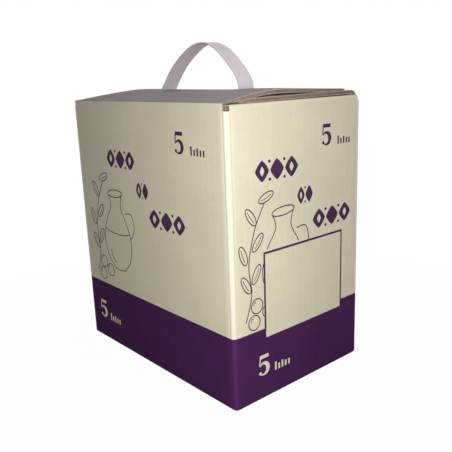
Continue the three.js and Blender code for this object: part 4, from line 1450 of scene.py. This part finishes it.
class CARTON_OT_stage(bpy.types.Operator):
    """Set the floor, the camera and the light"""

    bl_idname = "carton.stage"
    bl_label = "Stage"

    def execute(self, context):
        stage = context.scene.carton_stage
        scene = context.scene
        scene.view_settings.view_transform = "Standard"
        lens = bpy.data.cameras.new("camera")
        lens.lens, lens.sensor_width = stage.lens, 36.0
        lens.clip_start = 0.01
        camera = bpy.data.objects.new("camera", lens)
        axes = Matrix((CAMERA_RIGHT, CAMERA_UP, CAMERA_BACK)).transposed().to_4x4()
        camera.matrix_world = Matrix.Translation(CAMERA_PLACE) @ axes
        scene.collection.objects.link(camera)
        scene.camera = camera

        for name, settings in LAMPS.items():
            add_lamp(scene, f"{name} lamp", getattr(stage, f"{name}_power"), *settings)

        world = bpy.data.worlds.new("studio")
        scene.world = world
        world.use_nodes = True
        tree = world.node_tree
        seen = seen_directly(tree)
        tree.nodes["Background"].inputs["Color"].default_value = (1, 1, 1, 1)
        strength = spread(tree, seen, 0, 1, stage.ambient, 1.0)
        tree.links.new(strength, tree.nodes["Background"].inputs["Strength"])

        mesh = bpy.data.meshes.new("floor")
        signs = ((-1, -1), (1, -1), (1, 1), (-1, 1))
        corners = [(x * FLOOR_HALF, y * FLOOR_HALF, 0) for x, y in signs]
        mesh.from_pydata(corners, [], [(0, 1, 2, 3)])
        floor = bpy.data.objects.new("floor", mesh)
        scene.collection.objects.link(floor)
        mesh.materials.append(floor_finish())
        return {"FINISHED"}


def add_lamp(scene, name, power, size, tint, place, target):
    """A round area lamp that faces a target and isn't seen by the camera."""
    lamp = bpy.data.lights.new(name, "AREA")
    lamp.shape, lamp.size, lamp.energy, lamp.color = "DISK", size, power, tint
    made = bpy.data.objects.new(name, lamp)
    made.matrix_world = Matrix.Translation(place) @ looking_from(np.subtract(place, target))
    made.visible_camera = False
    scene.collection.objects.link(made)


def looking_from(back):
    """A turn whose local Z points along back, as a lamp or camera that looks the other way."""
    z = unit(back)
    x = unit(np.cross((0, 0, 1), z))
    return Matrix((x, np.cross(z, x), z)).transposed().to_4x4()


def seen_directly(tree):
    """1 for camera, glossy and transmission rays, else 0."""
    rays = node(tree, "ShaderNodeLightPath").outputs
    both = maths(tree, "MAXIMUM", rays["Is Camera Ray"], rays["Is Glossy Ray"])
    return maths(tree, "MAXIMUM", both, rays["Is Transmission Ray"])


def floor_finish():
    """White floor: mostly white where it is seen, with enough plain floor to hold the shadow."""
    made = bpy.data.materials.new("white floor")
    made.use_nodes = True
    tree = made.node_tree
    tree.nodes.clear()
    where = node(tree, "ShaderNodeTexCoord").outputs["Object"]
    shade = mixed(tree, noise(tree, where, 3.0), (0.6, 0.6, 0.6, 1), (0.57, 0.57, 0.57, 1))
    plain = node(tree, "ShaderNodeBsdfDiffuse", {"Color": shade}).outputs[0]
    white = node(tree, "ShaderNodeEmission", {"Color": (1, 1, 1, 1), "Strength": 1.0}).outputs[0]
    away = node(tree, "ShaderNodeVectorMath", {0: where}, operation="LENGTH").outputs["Value"]
    share = maths(tree, "MULTIPLY", seen_directly(tree), spread(tree, away, 0.14, 0.36, 0.97, 1.0))
    blend = node(tree, "ShaderNodeMixShader", {0: share, 1: plain, 2: white}).outputs[0]
    node(tree, "ShaderNodeOutputMaterial", {"Surface": blend})
    return made


class CARTON_PT_sidebar(bpy.types.Panel):
    """Lists the carton's pieces in the order in which they are made"""

    bl_label = "Bag in box carton"
    bl_idname = "CARTON_PT_sidebar"
    bl_space_type = "VIEW_3D"
    bl_region_type = "UI"
    bl_category = "Carton"

    def draw(self, context):
        for operator in OPERATORS:
            self.layout.operator(operator.bl_idname)
        for name in GROUPS:
            group = getattr(context.scene, name)
            box = self.layout.box()
            for key in group.__annotations__:
                box.prop(group, key)


GROUPS = {
    "carton_sizes": CARTON_PG_sizes,
    "carton_flap": CARTON_PG_flap,
    "carton_strap": CARTON_PG_strap,
    "carton_colours": CARTON_PG_colours,
    "carton_stage": CARTON_PG_stage,
}
OPERATORS = (
    CARTON_OT_finishes,
    CARTON_OT_carton,
    CARTON_OT_print,
    CARTON_OT_top_flap,
    CARTON_OT_strap,
    CARTON_OT_filling,
    CARTON_OT_stage,
)


def register():
    """Makes the classes and the scene's property groups known."""
    for item in (*GROUPS.values(), *OPERATORS, CARTON_PT_sidebar):
        bpy.utils.register_class(item)
    for name, group in GROUPS.items():
        setattr(bpy.types.Scene, name, bpy.props.PointerProperty(type=group))


def unregister():
    """Takes the classes and the property groups away again."""
    for name in GROUPS:
        delattr(bpy.types.Scene, name)
    for item in reversed((*GROUPS.values(), *OPERATORS, CARTON_PT_sidebar)):
        bpy.utils.unregister_class(item)


def main():
    register()
    bpy.ops.carton.finishes()
    bpy.ops.carton.carton()
    bpy.ops.carton.print()
    bpy.ops.carton.top_flap()
    bpy.ops.carton.strap()
    bpy.ops.carton.filling()
    bpy.ops.carton.stage()


if __name__ == "__main__":
    main()
